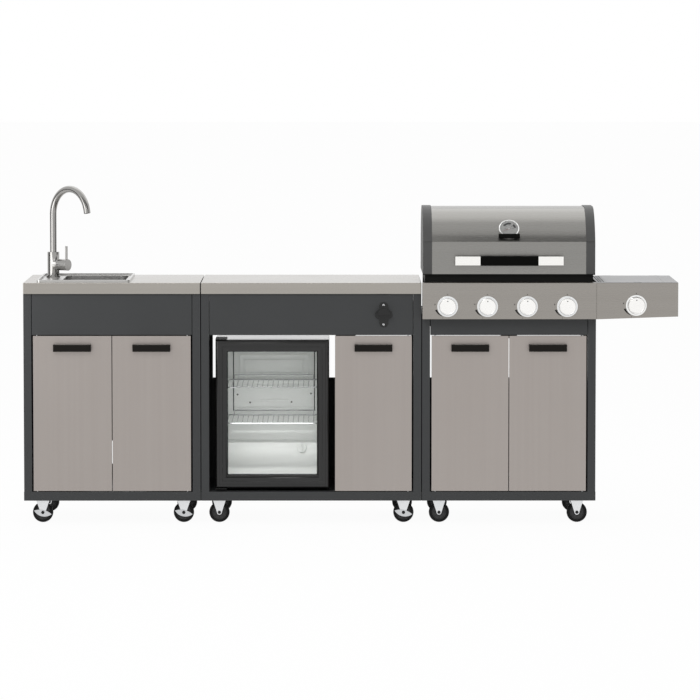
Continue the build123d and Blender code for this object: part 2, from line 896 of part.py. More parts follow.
# Hinge brackets above and below the fridge door, each with its pin
fridge_hinge_x = fridge_x0 + fridge_hinge_inset
fridge_hinge_y = (fridge_door_front + fridge_door_back) / 2
for plate_low, pin_from, pin_to in (
    (fridge_top, fridge_top, fridge_top - fridge_pin_depth),
    (fridge_bottom - fridge_bracket_plate, fridge_bottom, fridge_bottom + fridge_pin_depth),
):
    with BuildPart() as bracket:
        low = (fridge_x0, fridge_hinge_y - fridge_hinge_inset, plate_low)
        plate_right = fridge_x0 + fridge_bracket_width
        plate_back = fridge_front + fridge_bracket_back
        add(block(low, (plate_right, plate_back, plate_low + fridge_bracket_plate)))
        add(bar_along_z(fridge_hinge_x, fridge_hinge_y, fridge_pin_radius, pin_from, pin_to))
    fridge_pieces.append(bracket.part)
export_group("fridge_housing", fridge_pieces)

# Fridge door: a stepped frame with a rebate for the pane and a seal on its back
fridge_door_bottom = fridge_bottom + seat_gap
fridge_door_top = fridge_top - seat_gap
fridge_door_height = fridge_door_top - fridge_door_bottom
door_centre = (fridge_middle, (fridge_door_bottom + fridge_door_top) / 2)
sight_width = fridge_body_width - 2 * fridge_door_stile
sight_height = fridge_door_height - fridge_door_head - fridge_door_sill
sight_centre = (fridge_middle, fridge_door_bottom + fridge_door_sill + sight_height / 2)
pane_width = sight_width + 2 * fridge_glass_rebate
pane_height = sight_height + 2 * fridge_glass_rebate

with BuildPart() as fridge_door_frame:
    with BuildSketch(Plane.XZ.offset(-fridge_door_front)):
        with Locations(door_centre):
            Rectangle(fridge_body_width, fridge_door_height)
        with Locations(sight_centre):
            Rectangle(sight_width, sight_height, mode=Mode.SUBTRACT)
    extrude(amount=-fridge_door_thickness)
    with BuildSketch(Plane.XZ.offset(-fridge_door_front)):
        with Locations(door_centre):
            Rectangle(
                fridge_body_width - 2 * fridge_door_band, fridge_door_height - 2 * fridge_door_band
            )
    extrude(amount=-fridge_door_step, mode=Mode.SUBTRACT, taper=45)
    with BuildSketch(Plane.XZ.offset(-fridge_door_back)):
        with Locations(sight_centre):
            Rectangle(pane_width, pane_height)
    extrude(amount=fridge_glass_thickness, mode=Mode.SUBTRACT)
    for z, way in ((fridge_door_bottom, 1), (fridge_door_top, -1)):
        with BuildSketch(Plane.XY.offset(z)):
            with Locations((fridge_hinge_x, fridge_hinge_y)):
                Circle(fridge_pin_radius + running_fit)
        extrude(amount=way * fridge_pin_depth, mode=Mode.SUBTRACT)

with BuildPart() as fridge_door_seal:
    seal_width = fridge_body_width - 2 * fridge_seal_inset
    seal_height = fridge_door_height - 2 * fridge_seal_inset
    with BuildSketch(Plane.XZ.offset(-fridge_door_back)):
        with Locations(door_centre):
            Rectangle(seal_width, seal_height)
            Rectangle(
                seal_width - 2 * fridge_seal_width,
                seal_height - 2 * fridge_seal_width,
                mode=Mode.SUBTRACT,
            )
    extrude(amount=-fridge_seal)
export_group("fridge_door_frame", [fridge_door_frame.part, fridge_door_seal.part])

with BuildPart() as fridge_door_glass:
    with BuildSketch(Plane.XZ.offset(-fridge_door_back)):
        with Locations(sight_centre):
            Rectangle(pane_width, pane_height)
    extrude(amount=fridge_glass_thickness)
fridge_door_glass.part.label = "fridge_door_glass"
export_step(fridge_door_glass.part, "parts/fridge_door_glass.step")

# Firebox: an open sheet tub on the grill frame, with a rim that the lid closes on
firebox_bottom = grill_frame_top
firebox_top = firebox_bottom + firebox_height
firebox_left = grill_left + firebox_side_inset
firebox_right = grill_right - firebox_side_inset
firebox_front = front_y + firebox_front_inset
firebox_rear = back_y - firebox_front_inset
firebox_middle = (grill_middle, (firebox_front + firebox_rear) / 2)
tub_left = firebox_left + firebox_wall
tub_right = firebox_right - firebox_wall
tub_front = firebox_front + firebox_wall
tub_rear = firebox_rear - firebox_wall
panel_front = front_y - panel_reach
panel_bottom = fascia_bottom + panel_lift
panel_top = panel_bottom + panel_height
knob_z = panel_bottom + knob_line_rise
knob_places = [grill_left + first_knob_offset + i * knob_spacing for i in range(4)]

with BuildPart() as firebox:
    add(block((firebox_left, firebox_front, firebox_bottom), (firebox_right, firebox_rear, firebox_top)))
    offset(amount=-firebox_wall, openings=firebox.faces().sort_by(Axis.Z)[-1])
    with BuildSketch(Plane.XY.offset(firebox_top)):
        with Locations(firebox_middle):
            Rectangle(
                firebox_right - firebox_left + 2 * firebox_rim_side,
                firebox_rear - firebox_front + 2 * firebox_rim_front,
            )
            Rectangle(tub_right - tub_left, tub_rear - tub_front, mode=Mode.SUBTRACT)
    extrude(amount=-firebox_rim)
    with BuildSketch(Plane.XY.offset(firebox_bottom)):
        with Locations(firebox_middle):
            SlotOverall(firebox_drain_width, firebox_drain_depth)
    extrude(amount=firebox_wall, mode=Mode.SUBTRACT)
    with BuildSketch(Plane.XZ.offset(-firebox_front)):
        with Locations(*[(x, knob_z) for x in knob_places]):
            Circle(burner_neck_radius)
    extrude(amount=-firebox_wall, mode=Mode.SUBTRACT)

firebox_pieces = [firebox.part]
for rise in (tamer_rise, grate_rise):
    ledge_z = firebox_bottom + rise
    for y in (tub_front, tub_rear - ledge_width):
        low = (tub_left, y, ledge_z - ledge_height)
        firebox_pieces.append(block(low, (tub_right, y + ledge_width, ledge_z)))

# Rear hinge of the lid: brackets on the firebox rim, each with its pin
lid_left = grill_left + lid_side_inset
lid_right = grill_right - lid_side_inset
lid_front = front_y + lid_front_inset
lid_rear = back_y - lid_rear_inset
lid_bottom = firebox_top + seat_gap
lid_top = lid_bottom + lid_height
lid_hinge_y = lid_rear + lid_hinge_out
lid_hinge_z = lid_bottom + lid_hinge_rise
for outer, inward in ((lid_left, 1), (lid_right, -1)):
    plate_x = outer + inward * (cap_width + seat_gap)
    with BuildPart() as lid_bracket_piece:
        with BuildSketch(Plane.YZ.offset(plate_x)):
            with Locations((lid_hinge_y, lid_hinge_z)):
                Circle(lid_bracket_radius)
                Rectangle(
                    2 * lid_bracket_radius,
                    lid_hinge_z - firebox_top,
                    align=(Align.CENTER, Align.MAX),
                )
        extrude(amount=inward * lid_bracket)
        add(bar_along_x(lid_hinge_y, lid_hinge_z, lid_pin_radius, outer, plate_x))
    firebox_pieces.append(lid_bracket_piece.part)
export_group("firebox", firebox_pieces)

# Side shelf: four sheet aprons round a deck, deeper at the grill than at the shelf's end
shelf_front = panel_front
shelf_rear = shelf_front + shelf_depth
shelf_centre = ((grill_right + shelf_right) / 2, (shelf_front + shelf_rear) / 2)
deck_top = panel_top - shelf_deck_drop
shelf_knob = (grill_right + shelf_knob_offset, knob_z + shelf_knob_lift)
stem_hole = stem_radius + 2 * knob_gap
inside_width = shelf_width - 2 * sheet
inside_depth = shelf_depth - 2 * sheet

shelf_pieces = []
for apron_front in (shelf_front, shelf_rear - sheet):
    with BuildPart() as apron:
        with BuildSketch(Plane.XZ.offset(-apron_front)):
            with BuildLine():
                Polyline(
                    (grill_right, panel_bottom),
                    (shelf_right, panel_bottom + shelf_end_rise),
                    (shelf_right, panel_top),
                    (grill_right, panel_top),
                    close=True,
                )
            make_face()
            if apron_front == shelf_front:
                with Locations(shelf_knob):
                    Circle(stem_hole, mode=Mode.SUBTRACT)
        extrude(amount=-sheet)
    shelf_pieces.append(apron.part)
for x, z in ((grill_right, panel_bottom), (shelf_right - sheet, panel_bottom + shelf_end_rise)):
    low = (x, shelf_front + sheet, z)
    shelf_pieces.append(block(low, (x + sheet, shelf_rear - sheet, panel_top)))
with BuildPart() as deck:
    with BuildSketch(Plane.XY.offset(deck_top)):
        with Locations(shelf_centre):
            Rectangle(inside_width, inside_depth)
            Circle(burner_neck_radius, mode=Mode.SUBTRACT)
    extrude(amount=-sheet)
shelf_pieces.append(deck.part)

# Hinges behind the side shelf, and the burner cover that turns on them
cover_low = panel_top + seat_gap
cover_hinge_y = shelf_rear + cover_knuckle_radius + seat_gap
cover_hinge_z = cover_low + sheet - cover_knuckle_radius
lug_radius = cover_knuckle_radius - 2 * seat_gap
knuckle_starts = (
    grill_right + cover_knuckle_inset,
    shelf_right - cover_knuckle_inset - cover_knuckle_length,
)
for start in knuckle_starts:
    end = start + cover_knuckle_length
    with BuildPart() as hinge_lugs:
        lugs = ((start - lug_radius, start - seat_gap), (end + seat_gap, end + lug_radius))
        for lug_from, lug_to in lugs:
            add(bar_along_x(cover_hinge_y, cover_hinge_z, lug_radius, lug_from, lug_to))
            low = (lug_from, shelf_rear, cover_hinge_z - lug_radius)
            add(block(low, (lug_to, cover_hinge_y, cover_low - seat_gap)))
        add(bar_along_x(cover_hinge_y, cover_hinge_z, cover_pin_radius, start - seat_gap, end + seat_gap))
    shelf_pieces.append(hinge_lugs.part)
export_group("side_shelf", shelf_pieces)

with BuildPart() as side_burner_cover:
    low = (grill_right + cover_margin, shelf_front + cover_margin, cover_low)
    add(block(low, (shelf_right - cover_margin, shelf_rear, cover_low + sheet)))
    fold_width = inside_width - 2 * cover_fold_gap
    fold_depth = inside_depth - 2 * cover_fold_gap
    with BuildSketch(Plane.XY.offset(cover_low)):
        with Locations(shelf_centre):
            Rectangle(fold_width, fold_depth)
            Rectangle(fold_width - 2 * sheet, fold_depth - 2 * sheet, mode=Mode.SUBTRACT)
    extrude(amount=-cover_fold)
    with BuildSketch(Plane.XY.offset(cover_low)):
        with Locations((shelf_centre[0], shelf_front + cover_slot_inset)):
            SlotOverall(cover_slot_width, cover_slot_depth)
    extrude(amount=sheet, mode=Mode.SUBTRACT)
    for start in knuckle_starts:
        end = start + cover_knuckle_length
        add(block((start, shelf_rear, cover_low), (end, cover_hinge_y, cover_low + sheet)))
        add(bar_along_x(cover_hinge_y, cover_hinge_z, cover_knuckle_radius, start, end))
        bore = cover_pin_radius + running_fit
        add(bar_along_x(cover_hinge_y, cover_hinge_z, bore, start, end), mode=Mode.SUBTRACT)
side_burner_cover.part.label = "side_burner_cover"
export_step(side_burner_cover.part, "parts/side_burner_cover.step")

# Control panel: a folded pan before the firebox, with a bezel round each knob's stem
with BuildPart() as control_panel:
    add(folded_pan((grill_left, panel_front, panel_bottom), (grill_right, front_y, panel_top), Axis.Y, -1))
    add(block((firebox_left, front_y, panel_top - sheet), (firebox_right, firebox_front, panel_top)))
    with BuildSketch(Plane.XZ.offset(-panel_front)):
        with Locations(*[(x, knob_z) for x in knob_places]):
            Circle(stem_hole)
    extrude(amount=-sheet, mode=Mode.SUBTRACT)

panel_pieces = [control_panel.part]
knob_centres = [(x, knob_z) for x in knob_places] + [shelf_knob]
for centre in knob_centres:
    with BuildPart() as bezel:
        with BuildSketch(Plane.XZ.offset(-panel_front)):
            with Locations(centre):
                Circle(bezel_radius)
        extrude(amount=bezel_thickness, taper=bezel_slope)
        with BuildSketch(Plane.XZ.offset(-panel_front)):
            with Locations(centre):
                Circle(stem_hole)
        extrude(amount=bezel_thickness, mode=Mode.SUBTRACT)
    panel_pieces.append(bezel.part)
export_group("control_panel", panel_pieces)

# Gas manifold behind the panel: one valve and nozzle per burner, and an inlet stub at its end
manifold_y = front_y - manifold_setback
valve_front = panel_front + sheet
valve_back = manifold_y - manifold_radius
manifold_left = knob_places[0] - manifold_left_offset
manifold_right = knob_places[-1] + manifold_left_offset

with BuildPart() as manifold:
    add(bar_along_x(manifold_y, knob_z, manifold_radius, manifold_left, manifold_right))
    nozzle_end = manifold_y + manifold_radius + nozzle_length
    for x in knob_places:
        add(bar_along_y(x, knob_z, nozzle_radius, manifold_y, nozzle_end))
    inlet_x = manifold_right - manifold_radius
    add(bar_along_z(inlet_x, manifold_y, inlet_radius, knob_z - inlet_drop, knob_z))

gas_pieces = [manifold.part]
for x, z in knob_centres:
    with BuildPart() as valve:
        with BuildSketch(Plane.XZ.offset(-valve_front)):
            with Locations((x, z)):
                Rectangle(valve_size, valve_size)
        extrude(amount=valve_front - valve_back)
        with BuildSketch(Plane.XZ.offset(-valve_front)):
            with Locations((x, z)):
                Circle(stem_radius + running_fit)
        extrude(amount=-valve_bore_depth, mode=Mode.SUBTRACT)
    gas_pieces.append(valve.part)
export_group("gas_manifold", gas_pieces)

knob_back = panel_front - bezel_thickness - knob_gap
knob_names = ("burner_knob_1", "burner_knob_2", "burner_knob_3", "burner_knob_4", "side_burner_knob")
for name, centre in zip(knob_names, knob_centres):
    with BuildPart() as knob:
        with BuildSketch(Plane.XZ.offset(-knob_back)):
            with Locations(centre):
                Circle(knob_radius)
        extrude(amount=knob_length, taper=knob_taper)
        with BuildSketch(Plane.XZ.offset(-knob_back)):
            with Locations(centre):
                Circle(stem_radius)
        extrude(amount=knob_back - valve_front - valve_bore_depth + seat_gap)
    knob.part.label = name
    export_step(knob.part, f"parts/{name}.step")

# Tube burners under the flame tamers, and the side burner on its neck
burner_pieces = []
mouth_y = firebox_front - burner_mouth
neck_end = tub_front + ledge_width
for x in knob_places:
    with BuildPart() as burner:
        add(bar_along_y(x, knob_z, burner_radius, neck_end, tub_rear))
        add(bar_along_y(x, knob_z, burner_neck_radius, mouth_y, neck_end))
        add(bar_along_y(x, knob_z, burner_bore, mouth_y, neck_end), mode=Mode.SUBTRACT)
    with BuildPart() as tamer:
        half = tamer_width / 2
        inner = half - tamer_foot
        with BuildSketch(Plane.XZ.offset(-tub_front)):
            with Locations((x, firebox_bottom + tamer_rise)):
                Polygon(
                    (-half, 0),
                    (0, tamer_height),
                    (half, 0),
                    (inner, 0),
                    (0, tamer_height * inner / half),
                    (-inner, 0),
                    align=None,
                )
        extrude(amount=tub_front - tub_rear)
    burner_pieces += [burner.part, tamer.part]

# The side burner's pipe runs back from its valve to an elbow under the neck.
elbow_top = shelf_knob[1] + burner_neck_radius
elbow_front = shelf_centre[1] - burner_neck_radius
with BuildPart() as side_burner:
    head_z = deck_top + side_burner_foot
    add(bar_along_z(*shelf_centre, side_burner_radius, head_z, head_z + side_burner_height))
    add(bar_along_z(*shelf_centre, burner_neck_radius, elbow_top, head_z))
    add(bar_along_z(*shelf_centre, burner_radius, deck_top, head_z))
low = (shelf_centre[0] - burner_neck_radius, elbow_front, elbow_top - 2 * burner_neck_radius)
high = (shelf_centre[0] + burner_neck_radius, elbow_front + 2 * burner_neck_radius, elbow_top)
pipe = bar_along_y(shelf_centre[0], shelf_knob[1], burner_neck_radius, valve_back, elbow_front)
burner_pieces += [side_burner.part, block(low, high), pipe]
export_group("burners", burner_pieces)

# Cast cooking grates on the firebox ledges, and the side burner's pan support
grate_z = firebox_bottom + grate_rise
grate_width = (tub_right - tub_left - (grate_count + 1) * grate_gap) / grate_count
grate_depth = tub_rear - tub_front - 2 * grate_gap
slot_pitch = grate_bar + grate_slot
slot_count = int((grate_width - 2 * grate_border + grate_bar) / slot_pitch)
slot_length = grate_depth - 2 * grate_border
grates = []
for i in range(grate_count):
    grate_x = tub_left + grate_gap + grate_width / 2 + i * (grate_width + grate_gap)
    with BuildPart() as grate:
        with BuildSketch(Plane.XY.offset(grate_z)):
            with Locations((grate_x, firebox_middle[1])):
                Rectangle(grate_width, grate_depth)
                with GridLocations(slot_pitch, 0, slot_count, 1):
                    Rectangle(grate_slot, slot_length, mode=Mode.SUBTRACT)
        extrude(amount=grate_thickness)
    grates.append(grate.part)

# The pan support is a cross of bars, welded at the middle, on four legs.
support_x, support_y = shelf_centre
half_bar = support_bar / 2
bars_low = deck_top + support_height - support_bar
for x_from, y_from, x_to, y_to in (
    (-support_reach, -half_bar, support_reach, half_bar),
    (-half_bar, half_bar, half_bar, support_reach),
    (-half_bar, -support_reach, half_bar, -half_bar),
):
    low = (support_x + x_from, support_y + y_from, bars_low)
    high = (support_x + x_to, support_y + y_to, bars_low + support_bar)
    grates.append(block(low, high))
leg_reach = support_reach - half_bar
for x, y in ((-leg_reach, 0), (leg_reach, 0), (0, -leg_reach), (0, leg_reach)):
    low = (support_x + x - half_bar, support_y + y - half_bar, deck_top)
    high = (support_x + x + half_bar, support_y + y + half_bar, bars_low)
    grates.append(block(low, high))
export_group("cooking_grates", grates)


# Closed side outline of the lid: upright front, curved brow and back, all grown by the same amount.
def lid_outline(x, grow):
    crease = (lid_front - grow, lid_bottom + lid_crease_rise)
    brow = (lid_front + lid_top_front, lid_top + grow)
    crown = (lid_front + lid_top_back, lid_top + grow)
    shoulder = (lid_rear + grow, lid_bottom + lid_back_rise)
    with BuildSketch(Plane.YZ.offset(x)) as outline:
        with BuildLine():
            Line((lid_front - grow, lid_bottom), crease)
            TangentArc(brow, crease, tangent=(-1, 0))
            Line(brow, crown)
            TangentArc(crown, shoulder, tangent=(1, 0))
            Line(shoulder, (lid_rear + grow, lid_bottom))
            Line((lid_rear + grow, lid_bottom), (lid_front - grow, lid_bottom))
        make_face()
    return outline.sketch


# Where the thermometer sits on the brow's arc, square to the sheet
brow_height = lid_height - lid_crease_rise
brow_radius = (lid_top_front**2 + brow_height**2) / (2 * brow_height)
gauge_rise = thermometer_rise - lid_height + brow_radius
gauge_run = sqrt(brow_radius**2 - gauge_rise**2)
gauge_seat = (grill_middle, lid_front + lid_top_front - gauge_run, lid_bottom + thermometer_rise)
gauge_plane = Plane(origin=gauge_seat, x_dir=(1, 0, 0), z_dir=(0, -gauge_run, gauge_rise))

with BuildPart() as lid_shell:
    extrude(lid_outline(lid_left + cap_width, 0), amount=lid_right - lid_left - 2 * cap_width)
    open_faces = lid_shell.faces().filter_by(Axis.X) + [lid_shell.faces().sort_by(Axis.Z)[0]]
    offset(amount=-lid_sheet, openings=open_faces)
    with BuildSketch(gauge_plane):
        Circle(thermometer_stem_radius)
    extrude(amount=-2 * lid_sheet, mode=Mode.SUBTRACT)
lid_shell.part.label = "lid_shell"
export_step(lid_shell.part, "parts/lid_shell.step")

# Cast end caps, hollow towards the lid, each with a hinge ear at its back
end_caps = []
for outer, inward in ((lid_left, 1), (lid_right, -1)):
    inner_end = -1 if inward == 1 else 0
    with BuildPart() as end_cap:
        extrude(lid_outline(outer, cap_proud), amount=inward * cap_width)
        offset(amount=-cap_wall, openings=end_cap.faces().sort_by(Axis.X)[inner_end])
        with BuildSketch(Plane.YZ.offset(outer)):
            with Locations((lid_hinge_y, lid_hinge_z)):
                Circle(lid_ear_radius)
                Rectangle(lid_hinge_out, lid_ear_radius, align=(Align.MAX, Align.CENTER))
        extrude(amount=inward * cap_width)
        with BuildSketch(Plane.YZ.offset(outer)):
            with Locations((lid_hinge_y, lid_hinge_z)):
                Circle(lid_pin_radius + running_fit)
        extrude(amount=inward * cap_width, mode=Mode.SUBTRACT)
    end_caps.append(end_cap.part)
export_group("lid_end_caps", end_caps)

# Lid handle: a flat bar on two posts, with a grip sleeve over its middle
handle_back = lid_front - lid_handle_gap
bar_front = handle_back - lid_handle_bar
bar_middle = ((handle_back + bar_front) / 2, lid_bottom + lid_handle_rise)
bar_left = grill_middle - lid_handle_width / 2
bar_right = grill_middle + lid_handle_width / 2
with BuildPart() as handle_bar_piece:
    with BuildSketch(Plane.YZ.offset(bar_left)):
        with Locations(bar_middle):
            Rectangle(lid_handle_bar, lid_handle_height)
    extrude(amount=lid_handle_width)
with BuildPart() as grip:
    with BuildSketch(Plane.YZ.offset(grill_middle - lid_grip_width / 2)):
        with Locations(bar_middle):
            Rectangle(lid_handle_bar + 2 * lid_grip_wall, lid_handle_height + 2 * lid_grip_wall)
            Rectangle(lid_handle_bar, lid_handle_height, mode=Mode.SUBTRACT)
    extrude(amount=lid_grip_width)
handle_pieces = [handle_bar_piece.part, grip.part]
post_radius = lid_handle_post / 2
for x in (bar_left + lid_handle_post_inset, bar_right - lid_handle_post_inset):
    handle_pieces.append(bar_along_y(x, bar_middle[1], post_radius, handle_back, lid_front))
export_group("lid_handle", handle_pieces)

with BuildPart() as lid_thermometer:
    with BuildSketch(gauge_plane):
        Circle(thermometer_radius)
    extrude(amount=thermometer_thickness)
    with BuildSketch(gauge_plane.offset(thermometer_thickness)):
        Circle(thermometer_radius - thermometer_rim)
    extrude(amount=-thermometer_rim / 2, mode=Mode.SUBTRACT)
    with BuildSketch(gauge_plane):
        Circle(thermometer_stem_radius)
    extrude(amount=-thermometer_stem)
lid_thermometer.part.label = "lid_thermometer"
export_step(lid_thermometer.part, "parts/lid_thermometer.step")

# Grease tray: a pan whose flanges slide on the runners
tray_inset = tube_side + runner_foot + tray_side_gap
flange_low = tray_z + seat_gap
tray_top = flange_low + sheet
tray_front = inner_front + tray_front_gap
tray_back = inner_back - tray_rear_gap
with BuildPart() as grease_tray:
    low = (grill_left + tray_inset, tray_front, tray_top - tray_height)
    add(folded_pan(low, (grill_right - tray_inset, tray_back, tray_top), Axis.Z, -1))
    for edge in (grill_left + tray_inset - tray_flange, grill_right - tray_inset):
        add(block((edge, tray_front, flange_low), (edge + tray_flange, tray_back, tray_top)))
grease_tray.part.label = "grease_tray"
export_step(grease_tray.part, "parts/grease_tray.step")


# A caster fork: two tapered cheeks, a crown and the axle bolt with its nuts.
def caster_fork(x, y, crown_top, axle_reach):
    inner = wheel_width / 2 + fork_side_gap
    outer = inner + fork_cheek
    with BuildPart() as fork:
        for cheek_front in (y - outer, y + inner):
            with BuildSketch(Plane.XZ.offset(-cheek_front)):
                with Locations((x, wheel_radius)):
                    Circle(fork_tip_radius)
                    Polygon(
                        (-fork_tip_radius, 0),
                        (fork_tip_radius, 0),
                        (fork_top_width / 2, crown_top - wheel_radius),
                        (-fork_top_width / 2, crown_top - wheel_radius),
                        align=None,
                    )
            extrude(amount=-fork_cheek)
        half = fork_top_width / 2
        add(block((x - half, y - inner, crown_top - fork_crown), (x + half, y + inner, crown_top)))
        add(bar_along_y(x, wheel_radius, axle_radius, y - outer - axle_reach, y + outer))
        nut_front = y - outer - axle_reach - axle_nut_height
        for nut_y in (nut_front, y + outer):
            with BuildSketch(Plane.XZ.offset(-nut_y)):
                with Locations((x, wheel_radius)):
                    RegularPolygon(axle_nut_radius, 6)
            extrude(amount=-axle_nut_height)
    return fork.part


# Wheels, forks, swivel stems and brake levers
swivel_crown = caster_height - caster_bearing_gap - caster_bearing
rigid_forks = []
for name, (x, y) in caster_places.items():
    with BuildPart() as tyre:
        with BuildSketch(Plane.XZ.offset(wheel_width / 2 - y)):
            with Locations((x, wheel_radius)):
                Circle(wheel_radius)
                Circle(hub_radius, mode=Mode.SUBTRACT)
        extrude(amount=-wheel_width)
        rims = tyre.edges().filter_by(GeomType.CIRCLE).sort_by(SortBy.RADIUS)[-2:]
        chamfer(rims, wheel_chamfer)
    with BuildPart() as hub:
        with BuildSketch(Plane.XZ.offset(wheel_width / 2 - hub_recess - y)):
            with Locations((x, wheel_radius)):
                Circle(hub_radius)
                Circle(axle_radius + running_fit, mode=Mode.SUBTRACT)
        extrude(amount=2 * hub_recess - wheel_width)
    export_group(f"{name}_wheel", [tyre.part, hub.part])

    if name not in swivel_casters:
        rigid_forks.append(caster_fork(x, y, caster_height, 0))
        continue

    braked = name in braked_casters
    lever_room = brake_plate + 2 * seat_gap if braked else 0
    with BuildPart() as fork:
        add(caster_fork(x, y, swivel_crown, lever_room))
        add(bar_along_z(x, y, caster_bearing_radius, swivel_crown, swivel_crown + caster_bearing))
        add(bar_along_z(x, y, caster_stem_radius, swivel_crown, swivel_crown + caster_stem_length))
    fork.part.label = f"{name}_fork"
    export_step(fork.part, f"parts/{name}_fork.step")

    if braked:
        lever_y = y - wheel_width / 2 - fork_side_gap - fork_cheek - seat_gap
        lever_way = (cos(radians(brake_tilt)), 0, -sin(radians(brake_tilt)))
        lever_plane = Plane(origin=(x, lever_y, wheel_radius), x_dir=lever_way, z_dir=(0, -1, 0))
        with BuildPart() as brake:
            with BuildSketch(lever_plane):
                with BuildLine():
                    ThreePointArc((-brake_length / 2, 0), (0, brake_rise), (brake_length / 2, 0))
                    ThreePointArc((brake_length / 2, 0), (0, -brake_drop), (-brake_length / 2, 0))
                make_face()
                Circle(axle_radius + running_fit, mode=Mode.SUBTRACT)
            extrude(amount=brake_plate)
        brake.part.label = f"{name}_brake"
        export_step(brake.part, f"parts/{name}_brake.step")
export_group("rigid_caster_forks", rigid_forks)
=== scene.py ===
import json
from math import atan2, cos, pi, radians, sin

import bmesh
import bpy
from mathutils import Matrix, Vector

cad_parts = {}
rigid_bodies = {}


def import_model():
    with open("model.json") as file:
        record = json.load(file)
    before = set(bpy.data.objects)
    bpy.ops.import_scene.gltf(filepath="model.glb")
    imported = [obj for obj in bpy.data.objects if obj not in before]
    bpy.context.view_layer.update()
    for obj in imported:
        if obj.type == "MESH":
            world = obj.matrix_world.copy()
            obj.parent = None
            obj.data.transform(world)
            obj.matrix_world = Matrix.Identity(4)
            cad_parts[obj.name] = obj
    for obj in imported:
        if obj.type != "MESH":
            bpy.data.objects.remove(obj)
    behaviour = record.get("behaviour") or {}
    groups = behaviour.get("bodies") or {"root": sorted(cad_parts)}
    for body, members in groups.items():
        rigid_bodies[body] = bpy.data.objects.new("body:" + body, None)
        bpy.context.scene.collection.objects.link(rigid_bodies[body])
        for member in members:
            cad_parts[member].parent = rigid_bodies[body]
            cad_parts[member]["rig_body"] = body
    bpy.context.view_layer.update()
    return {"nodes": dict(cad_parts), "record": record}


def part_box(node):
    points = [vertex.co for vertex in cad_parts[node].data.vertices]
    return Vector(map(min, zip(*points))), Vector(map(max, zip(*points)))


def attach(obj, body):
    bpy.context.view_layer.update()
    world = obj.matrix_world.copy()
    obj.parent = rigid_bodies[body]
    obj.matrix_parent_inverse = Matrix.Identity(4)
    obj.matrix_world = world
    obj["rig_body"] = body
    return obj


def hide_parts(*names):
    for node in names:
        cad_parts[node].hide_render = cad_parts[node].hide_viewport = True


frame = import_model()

scene = bpy.context.scene
nodes = frame["nodes"]
slotOf = {row["node"]: row["material_slot"] for row in frame["record"]["subparts"]}
rootBody = nodes["sink_frame"]["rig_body"]
print("frame loaded with", len(nodes), "nodes")


# A socket that takes part in sums, so that shader maths reads as plain expressions
class Wire:
    def __init__(self, finish, socket):
        self.finish = finish
        self.socket = socket

    def work(self, operation, other):
        return self.finish.node("Math", {"operation": operation}, {0: self, 1: other})

    def __add__(self, other):
        return self.work("ADD", other)

    def __sub__(self, other):
        return self.work("SUBTRACT", other)

    def __mul__(self, other):
        return self.work("MULTIPLY", other)

    __radd__ = __add__


# A node tree, of the sky or of a material with a principled skin
class Finish:
    def __init__(self, name, world=None):
        self.material = world or bpy.data.materials.new(name)
        self.material.use_nodes = True
        self.tree = self.material.node_tree
        self.tree.nodes.clear()
        if world:
            self.output = self.tree.nodes.new("ShaderNodeOutputWorld")
            return
        self.output = self.tree.nodes.new("ShaderNodeOutputMaterial")
        self.skin = self.tree.nodes.new("ShaderNodeBsdfPrincipled")
        self.tree.links.new(self.skin.outputs[0], self.output.inputs[0])

    def plug(self, socket, value):
        if isinstance(value, Wire):
            self.tree.links.new(value.socket, socket)
        else:
            socket.default_value = value

    def node(self, kind, settings, sockets, output=0):
        made = self.tree.nodes.new("ShaderNode" + kind)
        for key, value in settings.items():
            setattr(made, key, value)
        for key, value in sockets.items():
            self.plug(made.inputs[key], value)
        return Wire(self, made.outputs[output])

    def noise(self, stretch, detail=2.0, roughness=0.5):
        place = self.node("TexCoord", {}, {}, "Object")
        spread = self.node("Mapping", {}, {"Vector": place, "Scale": stretch})
        return self.node("TexNoise", {}, {"Vector": spread, "Scale": 1.0, "Detail": detail, "Roughness": roughness})

    def mix(self, factor, first, second):
        return self.node("Mix", {"data_type": "RGBA"}, {0: factor, 6: (*first, 1), 7: (*second, 1)}, 2)

    def bump(self, height, strength, distance):
        return self.node("Bump", {}, {"Height": height, "Strength": strength, "Distance": distance})

    def wear(self, sockets):
        for key, value in sockets.items():
            self.plug(self.skin.inputs[key], value)
        return self.material


# How far noise is drawn out along the way of the brushing
brushLines = {"x": (14, 1800, 1800), "y": (1800, 14, 1800), "z": (1800, 1800, 14)}
brushBands = {"x": (0.7, 60, 60), "y": (60, 0.7, 60), "z": (60, 60, 0.7)}


# Brushed sheet: fine lines along the brushing, broad bands and faint clouds
def brushedSteel(name, way, dark, light, rough, relief=0.05):
    steel = Finish(name)
    lines = steel.noise(brushLines[way], 3.0, 0.6)
    bands = steel.noise(brushBands[way])
    clouds = steel.noise((3, 3, 3))
    return steel.wear({
        "Base Color": steel.mix(lines * 0.35 + bands * 0.35 + clouds * 0.3, dark, light),
        "Metallic": 1.0,
        "Roughness": rough + (lines - 0.5) * 0.16 + (clouds - 0.5) * 0.08,
        "Normal": steel.bump(lines, relief, 0.0004),
    })


# Powder coat, moulded plastic and castings: a grained skin over a slightly uneven colour
def grainedCoat(name, dark, light, rough, grain=900, relief=0.1, sheen=0.35):
    coat = Finish(name)
    grains = coat.noise((grain,) * 3, 3.0)
    clouds = coat.noise((5, 5, 5), 3.0)
    return coat.wear({
        "Base Color": coat.mix(grains * 0.4 + clouds * 0.6, dark, light),
        "Roughness": rough + (clouds - 0.5) * 0.12 + (grains - 0.5) * 0.08,
        "Normal": coat.bump(grains, relief, 0.0006),
        "Specular IOR Level": sheen,
    })


